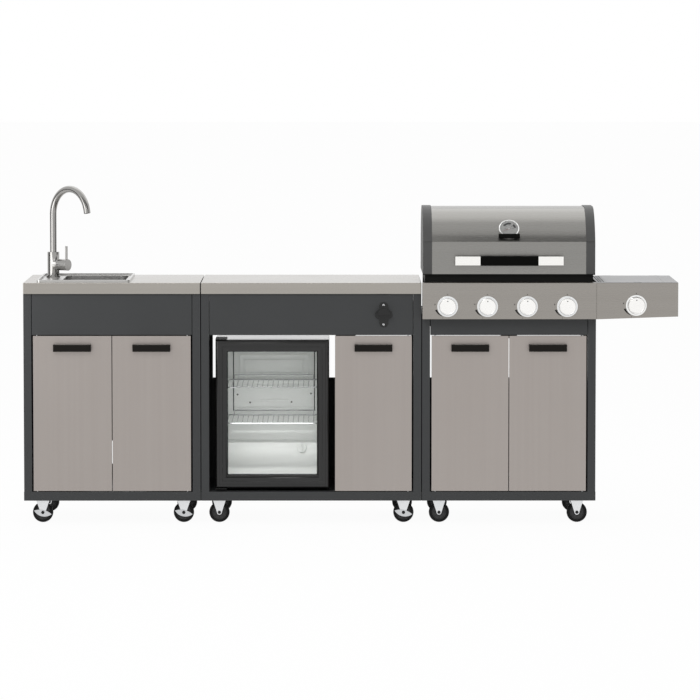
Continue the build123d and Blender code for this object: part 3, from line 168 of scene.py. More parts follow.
# Polished and plated metal, with faint scuffs
def platedMetal(name, dark, light, rough, relief):
    plate = Finish(name)
    scuffs = plate.noise((60, 60, 240), 4.0, 0.7)
    clouds = plate.noise((12, 12, 12))
    return plate.wear({
        "Base Color": plate.mix(clouds, dark, light),
        "Metallic": 1.0,
        "Roughness": rough + (scuffs - 0.5) * 0.18,
        "Normal": plate.bump(scuffs, relief, 0.0003),
    })


# A thin pane: mostly see-through, so that light falls on what lies behind it
def clearGlass(name, colour, body):
    glass = Finish(name)
    smears = glass.noise((6, 6, 10), 3.0)
    return glass.wear({
        "Base Color": (*colour, 1),
        "Roughness": 0.02 + smears * 0.03,
        "Specular IOR Level": 1.0,
        "Alpha": body,
    })


doorSteel = brushedSteel("doorSteel", "z", (0.345, 0.310, 0.2885), (0.412, 0.378, 0.356), rough=0.40)
worktopSteel = brushedSteel("worktopSteel", "x", (0.345, 0.325, 0.295), (0.42, 0.398, 0.366), rough=0.20, relief=0.025)
panelSteel = brushedSteel("panelSteel", "x", (0.29, 0.272, 0.250), (0.36, 0.34, 0.316), rough=0.28, relief=0.03)
coverSteel = brushedSteel("coverSteel", "x", (0.20, 0.20, 0.205), (0.27, 0.27, 0.275), rough=0.34, relief=0.03)
lidSteel = brushedSteel("lidSteel", "x", (0.24, 0.235, 0.222), (0.30, 0.294, 0.28), rough=0.28, relief=0.03)
bowlSteel = brushedSteel("bowlSteel", "y", (0.50, 0.495, 0.485), (0.58, 0.575, 0.565), rough=0.24, relief=0.02)
handleSteel = brushedSteel("handleSteel", "x", (0.90, 0.89, 0.86), (0.97, 0.96, 0.93), rough=0.20)
burnerSteel = brushedSteel("burnerSteel", "y", (0.32, 0.30, 0.28), (0.46, 0.43, 0.40), rough=0.40)
traySteel = brushedSteel("traySteel", "x", (0.46, 0.47, 0.48), (0.58, 0.59, 0.60), rough=0.42)

anthracite = grainedCoat("anthracite", (0.036, 0.038, 0.039), (0.048, 0.050, 0.052), rough=0.44)
capPaint = grainedCoat("capPaint", (0.064, 0.064, 0.063), (0.086, 0.086, 0.085), rough=0.5, grain=500, relief=0.16)
fireboxPaint = grainedCoat(
    "fireboxPaint", (0.005, 0.005, 0.0045), (0.009, 0.009, 0.008), rough=0.5, grain=700, relief=0.12, sheen=0.12
)
handleBlack = grainedCoat("handleBlack", (0.006, 0.005, 0.004), (0.011, 0.009, 0.007), rough=0.4, sheen=0.12)
gripBlack = grainedCoat(
    "gripBlack", (0.0015, 0.0015, 0.001), (0.003, 0.003, 0.0025), rough=0.55, grain=1400, relief=0.2, sheen=0.05
)
openerIron = grainedCoat(
    "openerIron", (0.004, 0.004, 0.004), (0.008, 0.008, 0.008), rough=0.2, grain=420, relief=0.12, sheen=0.4
)
grateIron = grainedCoat("grateIron", (0.010, 0.010, 0.010), (0.022, 0.022, 0.021), rough=0.5, grain=350, relief=0.3)
fridgeBlack = grainedCoat(
    "fridgeBlack", (0.006, 0.0058, 0.0056), (0.010, 0.0098, 0.0095), rough=0.2, grain=1200, relief=0.006, sheen=0.5
)
fridgeLiner = grainedCoat(
    "fridgeLiner", (0.76, 0.775, 0.755), (0.84, 0.855, 0.835), rough=0.4, grain=260, relief=0.05
)
# Pale glossy finish for the top face of the black case: painted light for the bright gap above the case, with a real
# grazing reflection
fridgeTopPaintedLight = grainedCoat(
    "fridgeTopPaintedLight", (0.70, 0.71, 0.72), (0.78, 0.79, 0.80), rough=0.10, grain=400, relief=0.02, sheen=0.5
)
sealRubber = grainedCoat("sealRubber", (0.012, 0.012, 0.012), (0.022, 0.022, 0.022), rough=0.6, grain=800, sheen=0.2)
tyreRubber = grainedCoat(
    "tyreRubber", (0.006, 0.006, 0.006), (0.013, 0.013, 0.013), rough=0.55, grain=600, relief=0.15, sheen=0.15
)
hubPlastic = grainedCoat("hubPlastic", (0.050, 0.050, 0.051), (0.070, 0.070, 0.071), rough=0.5, grain=800, sheen=0.25)
markInk = grainedCoat(
    "markInk", (0.010, 0.010, 0.010), (0.02, 0.02, 0.02), rough=0.6, grain=2500, relief=0.05, sheen=0.1
)
dialWhite = grainedCoat("dialWhite", (0.36, 0.36, 0.35), (0.44, 0.44, 0.43), rough=0.45, grain=2000, relief=0.03)
needleRed = grainedCoat("needleRed", (0.16, 0.02, 0.015), (0.22, 0.03, 0.02), rough=0.4, grain=2000, relief=0.03)
plugBlack = grainedCoat("plugBlack", (0.012, 0.012, 0.012), (0.020, 0.020, 0.020), rough=0.5, relief=0.12, sheen=0.2)

tapSteel = platedMetal("tapSteel", (0.31, 0.305, 0.295), (0.38, 0.372, 0.36), rough=0.16, relief=0.001)
knobSilver = platedMetal("knobSilver", (0.93, 0.92, 0.90), (0.98, 0.97, 0.95), rough=0.26, relief=0.01)
zincPlate = platedMetal("zincPlate", (0.70, 0.71, 0.72), (0.84, 0.85, 0.86), rough=0.30, relief=0.04)
bezelChrome = platedMetal("bezelChrome", (0.86, 0.86, 0.85), (0.94, 0.94, 0.93), rough=0.14, relief=0.01)
leverSteel = platedMetal("leverSteel", (0.52, 0.53, 0.54), (0.64, 0.65, 0.66), rough=0.26, relief=0.04)
shelfChrome = platedMetal("shelfChrome", (0.30, 0.31, 0.31), (0.42, 0.43, 0.43), rough=0.26, relief=0.03)
valveBrass = platedMetal("valveBrass", (0.52, 0.37, 0.15), (0.66, 0.49, 0.22), rough=0.34, relief=0.05)

paneGlass = clearGlass("paneGlass", (0.50, 0.53, 0.51), body=0.07)
gaugeGlass = clearGlass("gaugeGlass", (0.30, 0.30, 0.30), body=0.10)
print("finishes made:", len(bpy.data.materials))

# How shapes are made: welding distance, crease angles, and the thickness of printed marks
craft = {"weld": 0.00001, "sharpFrom": 32, "mark": 0.00015, "grooveRim": 0.0001}
softening = {"weld": 0.00002, "flatUnder": 0.4, "foldOver": 38, "hollowOver": 20, "slimmest": 2.2}


# Faces of each separate solid in a mesh
def looseParts(form):
    left = set(form.faces)
    while left:
        part = [left.pop()]
        for face in part:
            for edge in face.edges:
                near = [f for f in edge.link_faces if f in left]
                left.difference_update(near)
                part.extend(near)
        yield part


def makePiece(name, form, finishes, body, slot):
    mesh = bpy.data.meshes.new(name)
    form.to_mesh(mesh)
    form.free()
    piece = bpy.data.objects.new(name, mesh)
    scene.collection.objects.link(piece)
    for finish in finishes:
        mesh.materials.append(finish)
    mesh.shade_smooth()
    mesh.set_sharp_from_angle(angle=radians(craft["sharpFrom"]))
    weighted = piece.modifiers.new("evenNormals", "WEIGHTED_NORMAL")
    weighted.keep_sharp = True
    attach(piece, body)
    return piece


# A piece that is seen in place of a CAD node, on that node's body
def standIn(nodeName, name, form, finishes):
    piece = makePiece(name, form, finishes, nodes[nodeName]["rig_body"], slotOf[nodeName])
    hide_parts(nodeName)


# Turns a shape's own axes so that its Z looks outward and its Y stays up
def facing(at, outward):
    return Matrix.Translation(at) @ Vector(outward).to_track_quat("Z", "Y").to_matrix().to_4x4()


# A shape turned on the lathe from radii and heights
def turned(profile, place, steps=64):
    form = bmesh.new()
    points = [form.verts.new((radius, 0, height)) for radius, height in profile]
    lines = [form.edges.new(pair) for pair in zip(points, points[1:])]
    bmesh.ops.spin(
        form, geom=points + lines, cent=(0, 0, 0), axis=(0, 0, 1), angle=2 * pi, steps=steps, use_merge=True
    )
    bmesh.ops.remove_doubles(form, verts=form.verts, dist=craft["weld"])
    bmesh.ops.recalc_face_normals(form, faces=form.faces)
    bmesh.ops.transform(form, matrix=place, verts=form.verts)
    return form


# The lathe profile of a plain disc or rod
def disc(radius, low, high):
    return [(0, low), (radius, low), (radius, high), (0, high)]


def rod(start, end, radius, steps):
    start, end = Vector(start), Vector(end)
    return turned(disc(radius, 0, (end - start).length), facing(start, end - start), steps)


def softBlock(low, high, edge, place=Matrix()):
    form = bmesh.new()
    low, high = Vector(low), Vector(high)
    bmesh.ops.create_cube(form, size=1)
    bmesh.ops.scale(form, vec=high - low, verts=form.verts)
    bmesh.ops.translate(form, vec=(low + high) / 2, verts=form.verts)
    bmesh.ops.bevel(
        form, geom=form.edges[:], offset=edge, offset_type="OFFSET", segments=2, profile=0.5,
        affect="EDGES", material=-1,
    )
    bmesh.ops.transform(form, matrix=place, verts=form.verts)
    return form


# Gives a flat shape a thickness and puts it in its place
def raised(form, thickness, place):
    top = bmesh.ops.extrude_face_region(form, geom=form.faces[:])["geom"]
    bmesh.ops.translate(form, vec=(0, 0, thickness), verts=[v for v in top if isinstance(v, bmesh.types.BMVert)])
    bmesh.ops.recalc_face_normals(form, faces=form.faces)
    bmesh.ops.transform(form, matrix=place, verts=form.verts)
    return form


def rectangle(left, right, low, high):
    return [(left, low), (right, low), (right, high), (left, high)]


def flatMark(points, place, thickness=craft["mark"]):
    form = bmesh.new()
    form.faces.new([form.verts.new((x, y, 0)) for x, y in points])
    return raised(form, thickness, place)


# The shape of a curve, which isn't kept itself
def curveForm(curve):
    holder = bpy.data.objects.new(curve.name, curve)
    mesh = bpy.data.meshes.new_from_object(holder)
    form = bmesh.new()
    form.from_mesh(mesh)
    bpy.data.objects.remove(holder)
    bpy.data.curves.remove(curve)
    bpy.data.meshes.remove(mesh)
    return form


# A wire bent along a few points, with round corners
def bentWire(points, radius, cyclic=False):
    curve = bpy.data.curves.new("bentWire", "CURVE")
    curve.dimensions = "3D"
    curve.bevel_depth = radius
    curve.bevel_resolution = 3
    curve.use_fill_caps = True
    spline = curve.splines.new("NURBS")
    spline.points.add(len(points) - 1)
    for point, at in zip(spline.points, points):
        point.co = (*at, 1)
    spline.use_cyclic_u = cyclic
    spline.order_u = 3
    spline.use_endpoint_u = not cyclic
    spline.resolution_u = 6
    form = curveForm(curve)
    bmesh.ops.remove_doubles(form, verts=form.verts, dist=craft["weld"])
    bmesh.ops.recalc_face_normals(form, faces=form.faces)
    return form


# Puts shapes into one, each with the number of its finish
def gathered(parts, whole=None):
    whole = whole or bmesh.new()
    for form, finish in parts:
        for face in form.faces:
            face.material_index = finish
        mesh = bpy.data.meshes.new("gathered")
        form.to_mesh(mesh)
        form.free()
        whole.from_mesh(mesh)
        bpy.data.meshes.remove(mesh)
    return whole


def cutAlong(form, at, normal):
    bmesh.ops.bisect_plane(form, geom=form.verts[:] + form.edges[:] + form.faces[:], plane_co=at, plane_no=normal)


def inset(form, faces, rim, rise):
    bmesh.ops.inset_region(form, faces=faces, thickness=rim, depth=rise, use_boundary=True, use_even_offset=True)


# Lowers faces into a groove with a finish of its own
def sunk(form, faces, depth, finish):
    inset(form, faces, craft["grooveRim"], -depth)
    for face in faces:
        face.material_index = finish


def screwHead(at, outward, radius):
    place = facing(at, outward)
    head = [(0, -0.001), (radius, -0.001), (radius, radius * 0.15), (radius * 0.8, radius * 0.42), (0, radius * 0.55)]
    yield turned(head, place, 24), 0
    # The cross is two dark bars in the head: painted shade of the screw's cross recess
    arm = radius * 0.55
    for x, y in ((arm, arm / 4), (arm / 4, arm)):
        yield softBlock((-x, -y, radius * 0.4), (x, y, radius * 0.57), radius * 0.03, place), 1


# Whether an edge ends where faces fold inwards or solids touch, so that rounding it would tear
def joined(line):
    for other in {other for vert in line.verts for other in vert.link_edges} - {line}:
        hollow = not other.is_convex and other.calc_face_angle(0) > radians(softening["hollowOver"])
        if not other.is_manifold or hollow:
            return True
    return False


# Outer edges that are sharp and have room for rounding on both sides
def openFolds(form, edge, welded):
    for line in form.edges:
        if len(line.link_faces) == 2 and line.is_convex and line.calc_face_angle(0) > radians(softening["foldOver"]):
            slim = min(2 * f.calc_area() / f.calc_perimeter() for f in line.link_faces)
            if slim > softening["slimmest"] * edge and not (welded and joined(line)):
                yield line


# A copy of a CAD node with softened edges and a finish for each of its solids
def dress(nodeName, finishes, edge=0, pick=None, drop=None, shape=None, extra=(), welded=False):
    form = bmesh.new()
    form.from_mesh(nodes[nodeName].data)
    bmesh.ops.remove_doubles(form, verts=form.verts, dist=softening["weld"])
    bmesh.ops.dissolve_limit(form, angle_limit=radians(softening["flatUnder"]), verts=form.verts, edges=form.edges)
    unwanted = []
    for part in looseParts(form):
        points = [v.co for face in part for v in face.verts]
        low = Vector([min(p[i] for p in points) for i in range(3)])
        high = Vector([max(p[i] for p in points) for i in range(3)])
        if drop and drop(low, high):
            unwanted += part
            continue
        for face in part:
            face.material_index = pick(low, high, face) if pick else 0
    bmesh.ops.delete(form, geom=unwanted, context="FACES")
    if edge:
        bmesh.ops.bevel(
            form, geom=list(openFolds(form, edge, welded)), offset=edge, offset_type="OFFSET", segments=3, profile=0.5,
            affect="EDGES", material=-1, clamp_overlap=True,
        )
    if shape:
        shape(form)
    standIn(nodeName, "soft_" + nodeName, gathered(extra, form), finishes)


# Frames: painted tubes, plated links and runners, black catches
cartFrame = {
    "runnerWidth": 0.02, "runnerDepth": 0.3, "runnerHeight": 0.035, "linkWidth": 0.004, "catchHeight": 0.015,
    "handleHeight": 0.1,
}
railPlug = {"head": 0.0008, "depth": 0.012, "slack": 0.0006, "low": 0.087, "high": 0.120, "deep": 0.029, "edge": 0.0006}


def framePick(low, high, face):
    width, depth, height = high - low
    long = depth > cartFrame["runnerDepth"] and height > cartFrame["runnerHeight"]
    if width < cartFrame["linkWidth"] or width < cartFrame["runnerWidth"] and long:
        return 1
    return 2 if height < cartFrame["catchHeight"] else 0


def doorPick(low, high, face):
    return int(high.z - low.z < cartFrame["handleHeight"])


# Black plugs close the ends of the base rails
def railPlugs(nodeName):
    low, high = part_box(nodeName)
    slack = railPlug["slack"]
    for x, way in ((low[0], 1), (high[0], -1)):
        for y in (low[1], high[1] - railPlug["deep"]):
            ends = sorted((x - way * railPlug["head"], x + way * railPlug["depth"]))
            first = (ends[0], y + slack, railPlug["low"] + slack)
            last = (ends[1], y + railPlug["deep"] - slack, railPlug["high"] - slack)
            yield softBlock(first, last, railPlug["edge"]), 2


for cart in ("sink", "fridge", "grill"):
    name = cart + "_frame"
    dress(name, [anthracite, zincPlate, plugBlack], edge=0.0012, pick=framePick, extra=railPlugs(name), welded=True)
dress("cabinet_panels", [anthracite], edge=0.0014, welded=True)
dress("hinge_pins", [zincPlate])
for name in nodes:
    if name.endswith("_door"):
        dress(name, [doorSteel, handleBlack], edge=0.0016, pick=doorPick)
print("carts and doors dressed")

# Worktops, sink and tap
drain = {
    "at": (-0.9445, 0.038, 0.738), "widest": 0.1,
    "profile": [
        (0, -0.0055), (0.0165, -0.0055), (0.0165, -0.060), (0.019, -0.060), (0.019, 0.0001), (0.0336, 0.0001),
        (0.034, 0.0007), (0.0334, 0.0016), (0.0305, 0.0020), (0.0275, 0.0014), (0.0235, 0.0006), (0.0185, 0.0004),
        (0.0165, -0.0010), (0.0150, -0.0036), (0.0120, -0.0042), (0, -0.0042),
    ],
    "hole": disc(0.0016, -0.0043, -0.00405), "holeCircle": 0.0075, "holes": 6,
}
opener = {"screws": ((0.122, -0.216, 0.8065), (0.122, -0.216, 0.7355)), "screwRadius": 0.0042}


def drainParts():
    place = Matrix.Translation(drain["at"])
    yield turned(drain["profile"], place, 48), 1
    # The holes are thin dark discs on the strainer: painted shade of its openings
    yield turned(drain["hole"], place, 12), 2
    for index in range(drain["holes"]):
        turn = Matrix.Rotation(2 * pi * index / drain["holes"], 4, "Z")
        yield turned(drain["hole"], place @ turn @ Matrix.Translation((drain["holeCircle"], 0, 0)), 12), 2


dress("sink_worktop", [worktopSteel], edge=0.0018)
dress("fridge_worktop", [worktopSteel], edge=0.0018)
dress(
    "sink_bowl", [bowlSteel, bezelChrome, markInk], edge=0.0026,
    drop=lambda low, high: high.x - low.x < drain["widest"], extra=drainParts(),
)
dress("tap_body", [tapSteel], edge=0.0012)
dress("tap_lever", [tapSteel], edge=0.0014)
dress("tap_spout", [tapSteel], edge=0.0004)
dress(
    "bottle_opener", [zincPlate, markInk, openerIron], edge=0.0022, pick=lambda low, high, face: 2,
    extra=[part for at in opener["screws"] for part in screwHead(at, (0, -1, 0), opener["screwRadius"])],
)
print("sink and tap made")

# Fridge: black case, pale liner inside, black brackets and feet
fridge = {
    "left": -0.4617, "right": -0.1097, "front": -0.165, "back": 0.219, "floor": 0.1792, "roof": 0.636, "top": 0.678,
    "slack": 0.001, "lip": 0.002, "caseWidth": 0.4, "feetUnder": 0.14, "bracketsOver": 0.66,
    "plateWidth": 0.2, "dialWidth": 0.06, "dialHeight": 0.02, "dialOver": 0.2,
}
evaporator = {
    "half": 0.150, "low": 0.391, "high": 0.612, "thick": 0.002, "edge": 0.0008, "split": 0.062,
    "channels": (
        (0.016, 0), (0.0015, 0.004), (0.006, 0), (0.0015, -0.004),
        (0.012, 0), (0.0015, 0.004), (0.005, 0), (0.0015, -0.004),
    ),
    "paintedShadeBorder": ((-0.1545, -0.012, -0.001), (0.1545, 0.2235, 0.0008), 0.0003),
    "bar": ((-0.05, 0.022, 0.001), (0.055, 0.033, 0.0045), 0.0018),
    "lip": ((-0.150, -0.006, -0.001), (0.150, 0.003, 0.013), 0.002),
    "screws": ((-0.137, 0.050), (-0.090, 0.020), (0.066, 0.022), (0.139, 0.054)), "screwSeat": 0.0015,
    "screw": [(0, 0), (0.0034, 0), (0.0034, 0.0035), (0.002, 0.0046), (0, 0.0048)],
}
thermostat = {
    "at": (-0.1807, 0.099, 0.2512), "length": 0.012,
    "profile": [
        (0, 0), (0.019, 0), (0.019, 0.0015), (0.01748, 0.002), (0.0171, 0.0065), (0.01558, 0.0078), (0, 0.0078),
    ],
    "grip": ((-0.0032, -0.0152, 0.007), (0.0032, 0.0152, 0.012), 0.0012),
    "pointer": rectangle(-0.0006, 0.0006, 0.0076, 0.01425),
}
wireShelf = {
    "heights": (0.3632, 0.4962), "left": -0.4547, "right": -0.1167, "front": -0.146, "back": 0.200,
    "rim": 0.0026, "corner": 0.016, "wires": 17, "wire": 0.0015, "wireRise": 0.0022,
    "railHeight": 0.0185, "railIn": 0.02, "railCorner": 0.006, "railWire": 0.0018,
}
wallRib = {
    "wide": {"low": 0.275, "high": 0.505, "pitch": 0.022, "proud": 0.0024, "thick": 0.0032},
    "fine": {"low": 0.525, "high": 0.628, "pitch": 0.0095, "proud": 0.0013, "thick": 0.0022},
    "front": -0.135, "back": 0.207, "sunk": 0.001, "edge": 0.0005, "shelfRoom": 0.014,
}


def fridgePick(low, high, face):
    if high.x - low.x <= fridge["caseWidth"]:
        return 2 if low.z < fridge["feetUnder"] or high.z > fridge["bracketsOver"] else 1
    middle = face.calc_center_median()
    # The top face of the black case takes the pale finish: painted light
    if face.normal.z > 0.9 and middle.z > fridge["top"] - fridge["lip"]:
        return 3
    slack = fridge["slack"]
    inX = fridge["left"] - slack < middle.x < fridge["right"] + slack
    inY = fridge["front"] + fridge["lip"] < middle.y < fridge["back"] + slack
    inZ = fridge["floor"] - slack < middle.z < fridge["roof"] + slack
    return int(inX and inY and inZ)


# The evaporator plate and the round thermostat are made anew
def fridgeDrop(low, high):
    size = high - low
    isDial = size.x < fridge["dialWidth"] and size.z > fridge["dialHeight"] and low.z > fridge["dialOver"]
    return isDial or fridge["plateWidth"] < size.x < fridge["caseWidth"]


def evaporatorPlate():
    half, thick = evaporator["half"], evaporator["thick"]
    plate = softBlock((-half, 0, -thick), (half, evaporator["high"] - evaporator["low"], thick), evaporator["edge"])
    cutAlong(plate, (0, evaporator["split"], 0), (0, 1, 0))
    front = [f for f in plate.faces if f.normal.z > 0.99 and f.calc_center_median().y > evaporator["split"]]
    for rim, rise in evaporator["channels"]:
        inset(plate, front, rim, rise)
    place = facing(((fridge["left"] + fridge["right"]) / 2, fridge["back"], evaporator["low"]), (0, -1, 0))
    bmesh.ops.transform(plate, matrix=place, verts=plate.verts)
    yield plate, 1
    # The dark border sheet shows round the plate's edges and below it: painted shade of the gap between plate and wall
    for name, finish in (("paintedShadeBorder", 2), ("bar", 1), ("lip", 1)):
        yield softBlock(*evaporator[name], place), finish
    for x, y in evaporator["screws"]:
        yield turned(evaporator["screw"], place @ Matrix.Translation((x, y, evaporator["screwSeat"])), 16), 2


def thermostatDial():
    place = facing(thermostat["at"], (0, -1, 0))
    yield turned(thermostat["profile"], place, 48), 1
    yield softBlock(*thermostat["grip"], place), 1
    yield flatMark(thermostat["pointer"], place @ Matrix.Translation((0, 0, thermostat["length"]))), 2


# Ribs moulded into both side walls, wide ones between the shelves and fine ones above
def wallRibs():
    for row in (wallRib["wide"], wallRib["fine"]):
        height = row["low"]
        while height < row["high"]:
            if all(abs(height - shelf) >= wallRib["shelfRoom"] for shelf in wireShelf["heights"]):
                for wall, way in ((fridge["left"], 1), (fridge["right"], -1)):
                    ends = sorted((wall - way * wallRib["sunk"], wall + way * row["proud"]))
                    first = (ends[0], wallRib["front"], height)
                    last = (ends[1], wallRib["back"], height + row["thick"])
                    yield softBlock(first, last, wallRib["edge"]), 1
            height += row["pitch"]


# A bent rim, rods from front to back and a low rail behind
def wireShelfParts(height):
    left, right, front, back = [wireShelf[side] for side in ("left", "right", "front", "back")]
    rim = height + wireShelf["rim"]
    turn = wireShelf["corner"]
    corners = []
    for x, y, first, second in (
        (left, front, (0, turn), (turn, 0)), (right, front, (-turn, 0), (0, turn)),
        (right, back, (0, -turn), (-turn, 0)), (left, back, (turn, 0), (0, -turn)),
    ):
        corners += [(x + first[0], y + first[1], rim), (x, y, rim), (x + second[0], y + second[1], rim)]
    yield bentWire(corners, wireShelf["rim"], True), 0
    step = (right - left) / (wireShelf["wires"] + 1)
    level = rim + wireShelf["wireRise"]
    for index in range(1, wireShelf["wires"] + 1):
        x = left + index * step
        yield rod((x, front, level), (x, back, level), wireShelf["wire"], 10), 0
    top = rim + wireShelf["railHeight"]
    start, end, bend = left + wireShelf["railIn"], right - wireShelf["railIn"], wireShelf["railCorner"]
    rail = [
        (start, rim), (start, top - bend), (start, top), (start + bend, top),
        (end - bend, top), (end, top), (end, top - bend), (end, rim),
    ]
    yield bentWire([(x, back, z) for x, z in rail], wireShelf["railWire"]), 0


dress(
    "fridge_housing", [fridgeBlack, fridgeLiner, plugBlack, fridgeTopPaintedLight], edge=0.0015, pick=fridgePick, drop=fridgeDrop,
    extra=[*evaporatorPlate(), *thermostatDial(), *wallRibs()],
)
shelfParts = [part for height in wireShelf["heights"] for part in wireShelfParts(height)]
standIn("fridge_shelves", "wireShelves", gathered(shelfParts), [shelfChrome])

# The door's steps run from its edge to the pane: how far in, and how far back from the front
fridgeDoor = {
    "left": -0.4937, "right": -0.0777, "low": 0.1315, "high": 0.6777, "front": -0.210, "back": -0.170,
    "inner": 0.045, "rebate": 0.0355, "paneRoom": 0.0002, "head": 44 / 45, "sill": 50 / 45, "sealDepth": 0.01,
    "steps": [
        (0, 0.0125), (0.0008, 0.0105), (0.0090, 0.0030), (0.0100, 0.0026), (0.0125, 0.0024), (0.0132, 0.0006),
        (0.0142, 0), (0.0235, 0), (0.0246, 0.0008), (0.0252, 0.0030), (0.0262, 0.0036), (0.0340, 0.0040),
        (0.0350, 0.0046), (0.0430, 0.0125), (0.0440, 0.0138), (0.0450, 0.0165),
    ],
}


def fridgeDoorRing():
    front = fridgeDoor["front"]
    paneLow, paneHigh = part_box("fridge_door_glass")
    paneFront = paneLow[1] - fridgeDoor["paneRoom"] - front
    paneBack = paneHigh[1] + fridgeDoor["paneRoom"] - front
    thick = fridgeDoor["back"] - front
    inner, rebate = fridgeDoor["inner"], fridgeDoor["rebate"]
    section = fridgeDoor["steps"] + [
        (inner, paneFront), (rebate, paneFront), (rebate, paneBack), (inner, paneBack), (inner, thick), (0, thick),
    ]
    form = bmesh.new()
    loops = []
    for inward, back in section:
        outline = rectangle(
            fridgeDoor["left"] + inward, fridgeDoor["right"] - inward,
            fridgeDoor["low"] + inward * fridgeDoor["sill"], fridgeDoor["high"] - inward * fridgeDoor["head"],
        )
        corners = [form.verts.new((x, front + back, z)) for x, z in outline]
        loops.append([form.edges.new((corners[i - 1], corners[i])) for i in range(4)])
    for first, second in zip(loops, loops[1:] + loops[:1]):
        bmesh.ops.bridge_loops(form, edges=first + second)
    bmesh.ops.recalc_face_normals(form, faces=form.faces)
    return form


dress(
    "fridge_door_frame", [fridgeBlack, sealRubber], edge=0.0008, pick=lambda low, high, face: 1,
    drop=lambda low, high: high.y - low.y > fridgeDoor["sealDepth"], extra=[(fridgeDoorRing(), 0)],
)
dress("fridge_door_glass", [paneGlass])
print("fridge made")

# Grill: firebox, burners, panel, side shelf
grill = {
    "fittingsBehind": 0.26, "valveWidth": 0.05, "fittingWidth": 0.06, "fittingHeight": 0.02, "seatsBefore": -0.2575,
    "bezelWidth": 0.1,
}
coverTop = {
    "high": 0.8915, "slack": 0.0004, "front": -0.2545, "back": 0.1715, "seams": (0.9345, 1.145), "seamWidth": 0.0012,
    "slots": (0.9080, 0.9170, 0.9260), "slotWidth": 0.0048, "slotFront": -0.225, "slotBack": 0.150, "depth": 0.0008,
}


# Two seams from front to back, and three slots beside the left one; their floors take the dark ink, a dark joint in the
# seams and painted shade in the slots
def coverGrooves(form):
    level, slack = coverTop["high"], coverTop["slack"]
    rows = [(x, coverTop["seamWidth"], coverTop["front"], coverTop["back"]) for x in coverTop["seams"]]
    rows += [(x, coverTop["slotWidth"], coverTop["slotFront"], coverTop["slotBack"]) for x in coverTop["slots"]]
    for x, width, front, back in rows:
        low, high = Vector((x - width / 2, front, level - slack)), Vector((x + width / 2, back, level + slack))
        for normal in ((1, 0, 0), (0, 1, 0)):
            cutAlong(form, low, normal)
            cutAlong(form, high, normal)
        middles = [(face, face.calc_center_median()) for face in form.faces]
        chosen = [face for face, middle in middles if all(low[i] < middle[i] < high[i] for i in range(3))]
        sunk(form, chosen, coverTop["depth"], 1)


# The raised seats of the knobs lie in front of the sheet that carries them
def seatPick(low, high, face):
    return int(face.calc_center_median().y < grill["seatsBefore"])


def shelfPick(low, high, face):
    isFitting = high.x - low.x < grill["fittingWidth"] and high.z - low.z < grill["fittingHeight"]
    return int(isFitting or seatPick(low, high, face))


dress(
    "firebox", [fireboxPaint, zincPlate], edge=0.0012,
    pick=lambda low, high, face: int(low.y > grill["fittingsBehind"]),
)
dress("burners", [burnerSteel], edge=0.0006)
dress("cooking_grates", [grateIron], edge=0.0012, welded=True)
dress(
    "gas_manifold", [burnerSteel, valveBrass], edge=0.0008,
    pick=lambda low, high, face: int(high.x - low.x < grill["valveWidth"]),
)
dress("grease_tray", [traySteel], edge=0.0005)
dress("side_shelf", [panelSteel, zincPlate], edge=0.0004, pick=shelfPick, welded=True)
dress("side_burner_cover", [coverSteel, markInk], edge=0.0004, shape=coverGrooves)

# Turned knobs in bright rings, with a wedge of marks round each ring
knob = {
    "back": -0.264, "dotRise": 0.0205,
    "profile": [
        (0, -0.020), (0.004, -0.020), (0.004, 0), (0.0305, 0), (0.031, 0.0012), (0.0309, 0.004), (0.0306, 0.018),
        (0.0303, 0.0220), (0.0294, 0.0236), (0.0282, 0.0240), (0.0272, 0.0239), (0.0264, 0.0234), (0, 0.0234),
    ],
    "dot": [(0, 0.0233), (0.0021, 0.0233), (0.0021, 0.02355), (0, 0.0236)],
}
ring = {
    "front": -0.257,
    "profile": [
        (0.006, 0), (0.0385, 0), (0.0388, 0.0010), (0.0386, 0.0036), (0.0379, 0.0047), (0.0350, 0.0054),
        (0.0325, 0.0058), (0.0320, 0.0053), (0.0318, 0.0022), (0.006, 0.0020), (0.006, 0),
    ],
    "wedge": {"inner": 0.0402, "outer": 0.0475, "outerEnd": 0.0412, "start": 196, "sweep": 46},
    "flames": ({"radius": 0.047, "angle": 171, "size": 0.0042}, {"radius": 0.0455, "angle": 247, "size": 0.0026}),
    "flame": [(0, 1), (0.32, 0.25), (0.42, -0.2), (0.25, -0.6), (0, -0.72), (-0.25, -0.6), (-0.42, -0.2), (-0.2, 0.3)],
    "topTick": rectangle(-0.0009, 0.0009, 0.0405, 0.0455),
}
knobNames = [f"burner_knob_{index}" for index in range(1, 5)] + ["side_burner_knob"]


# A flat arc whose outer edge may draw in along the way
def arcMark(place, inner, outer, outerEnd, start, sweep):
    form = bmesh.new()
    ends = [form.verts.new((radius, 0, 0)) for radius in (inner, outer)]
    line = form.edges.new(ends)
    bmesh.ops.spin(form, geom=ends + [line], cent=(0, 0, 0), axis=(0, 0, 1), angle=radians(sweep), steps=18)
    for vert in form.verts:
        if vert.co.length > (inner + outerEnd) / 2:
            share = abs(atan2(vert.co.y, vert.co.x)) / radians(sweep)
            vert.co = vert.co.normalized() * (outer + (outerEnd - outer) * share)
    return raised(form, craft["mark"], place @ Matrix.Rotation(radians(start), 4, "Z"))


# A shift along a circle, without a turn
def roundAt(radius, angle):
    return Matrix.Translation((radius * cos(radians(angle)), radius * sin(radians(angle)), 0))


# A small drop of flame, pointing up
def flameMark(place, radius, angle, size):
    return flatMark([(x * size, y * size) for x, y in ring["flame"]], place @ roundAt(radius, angle))


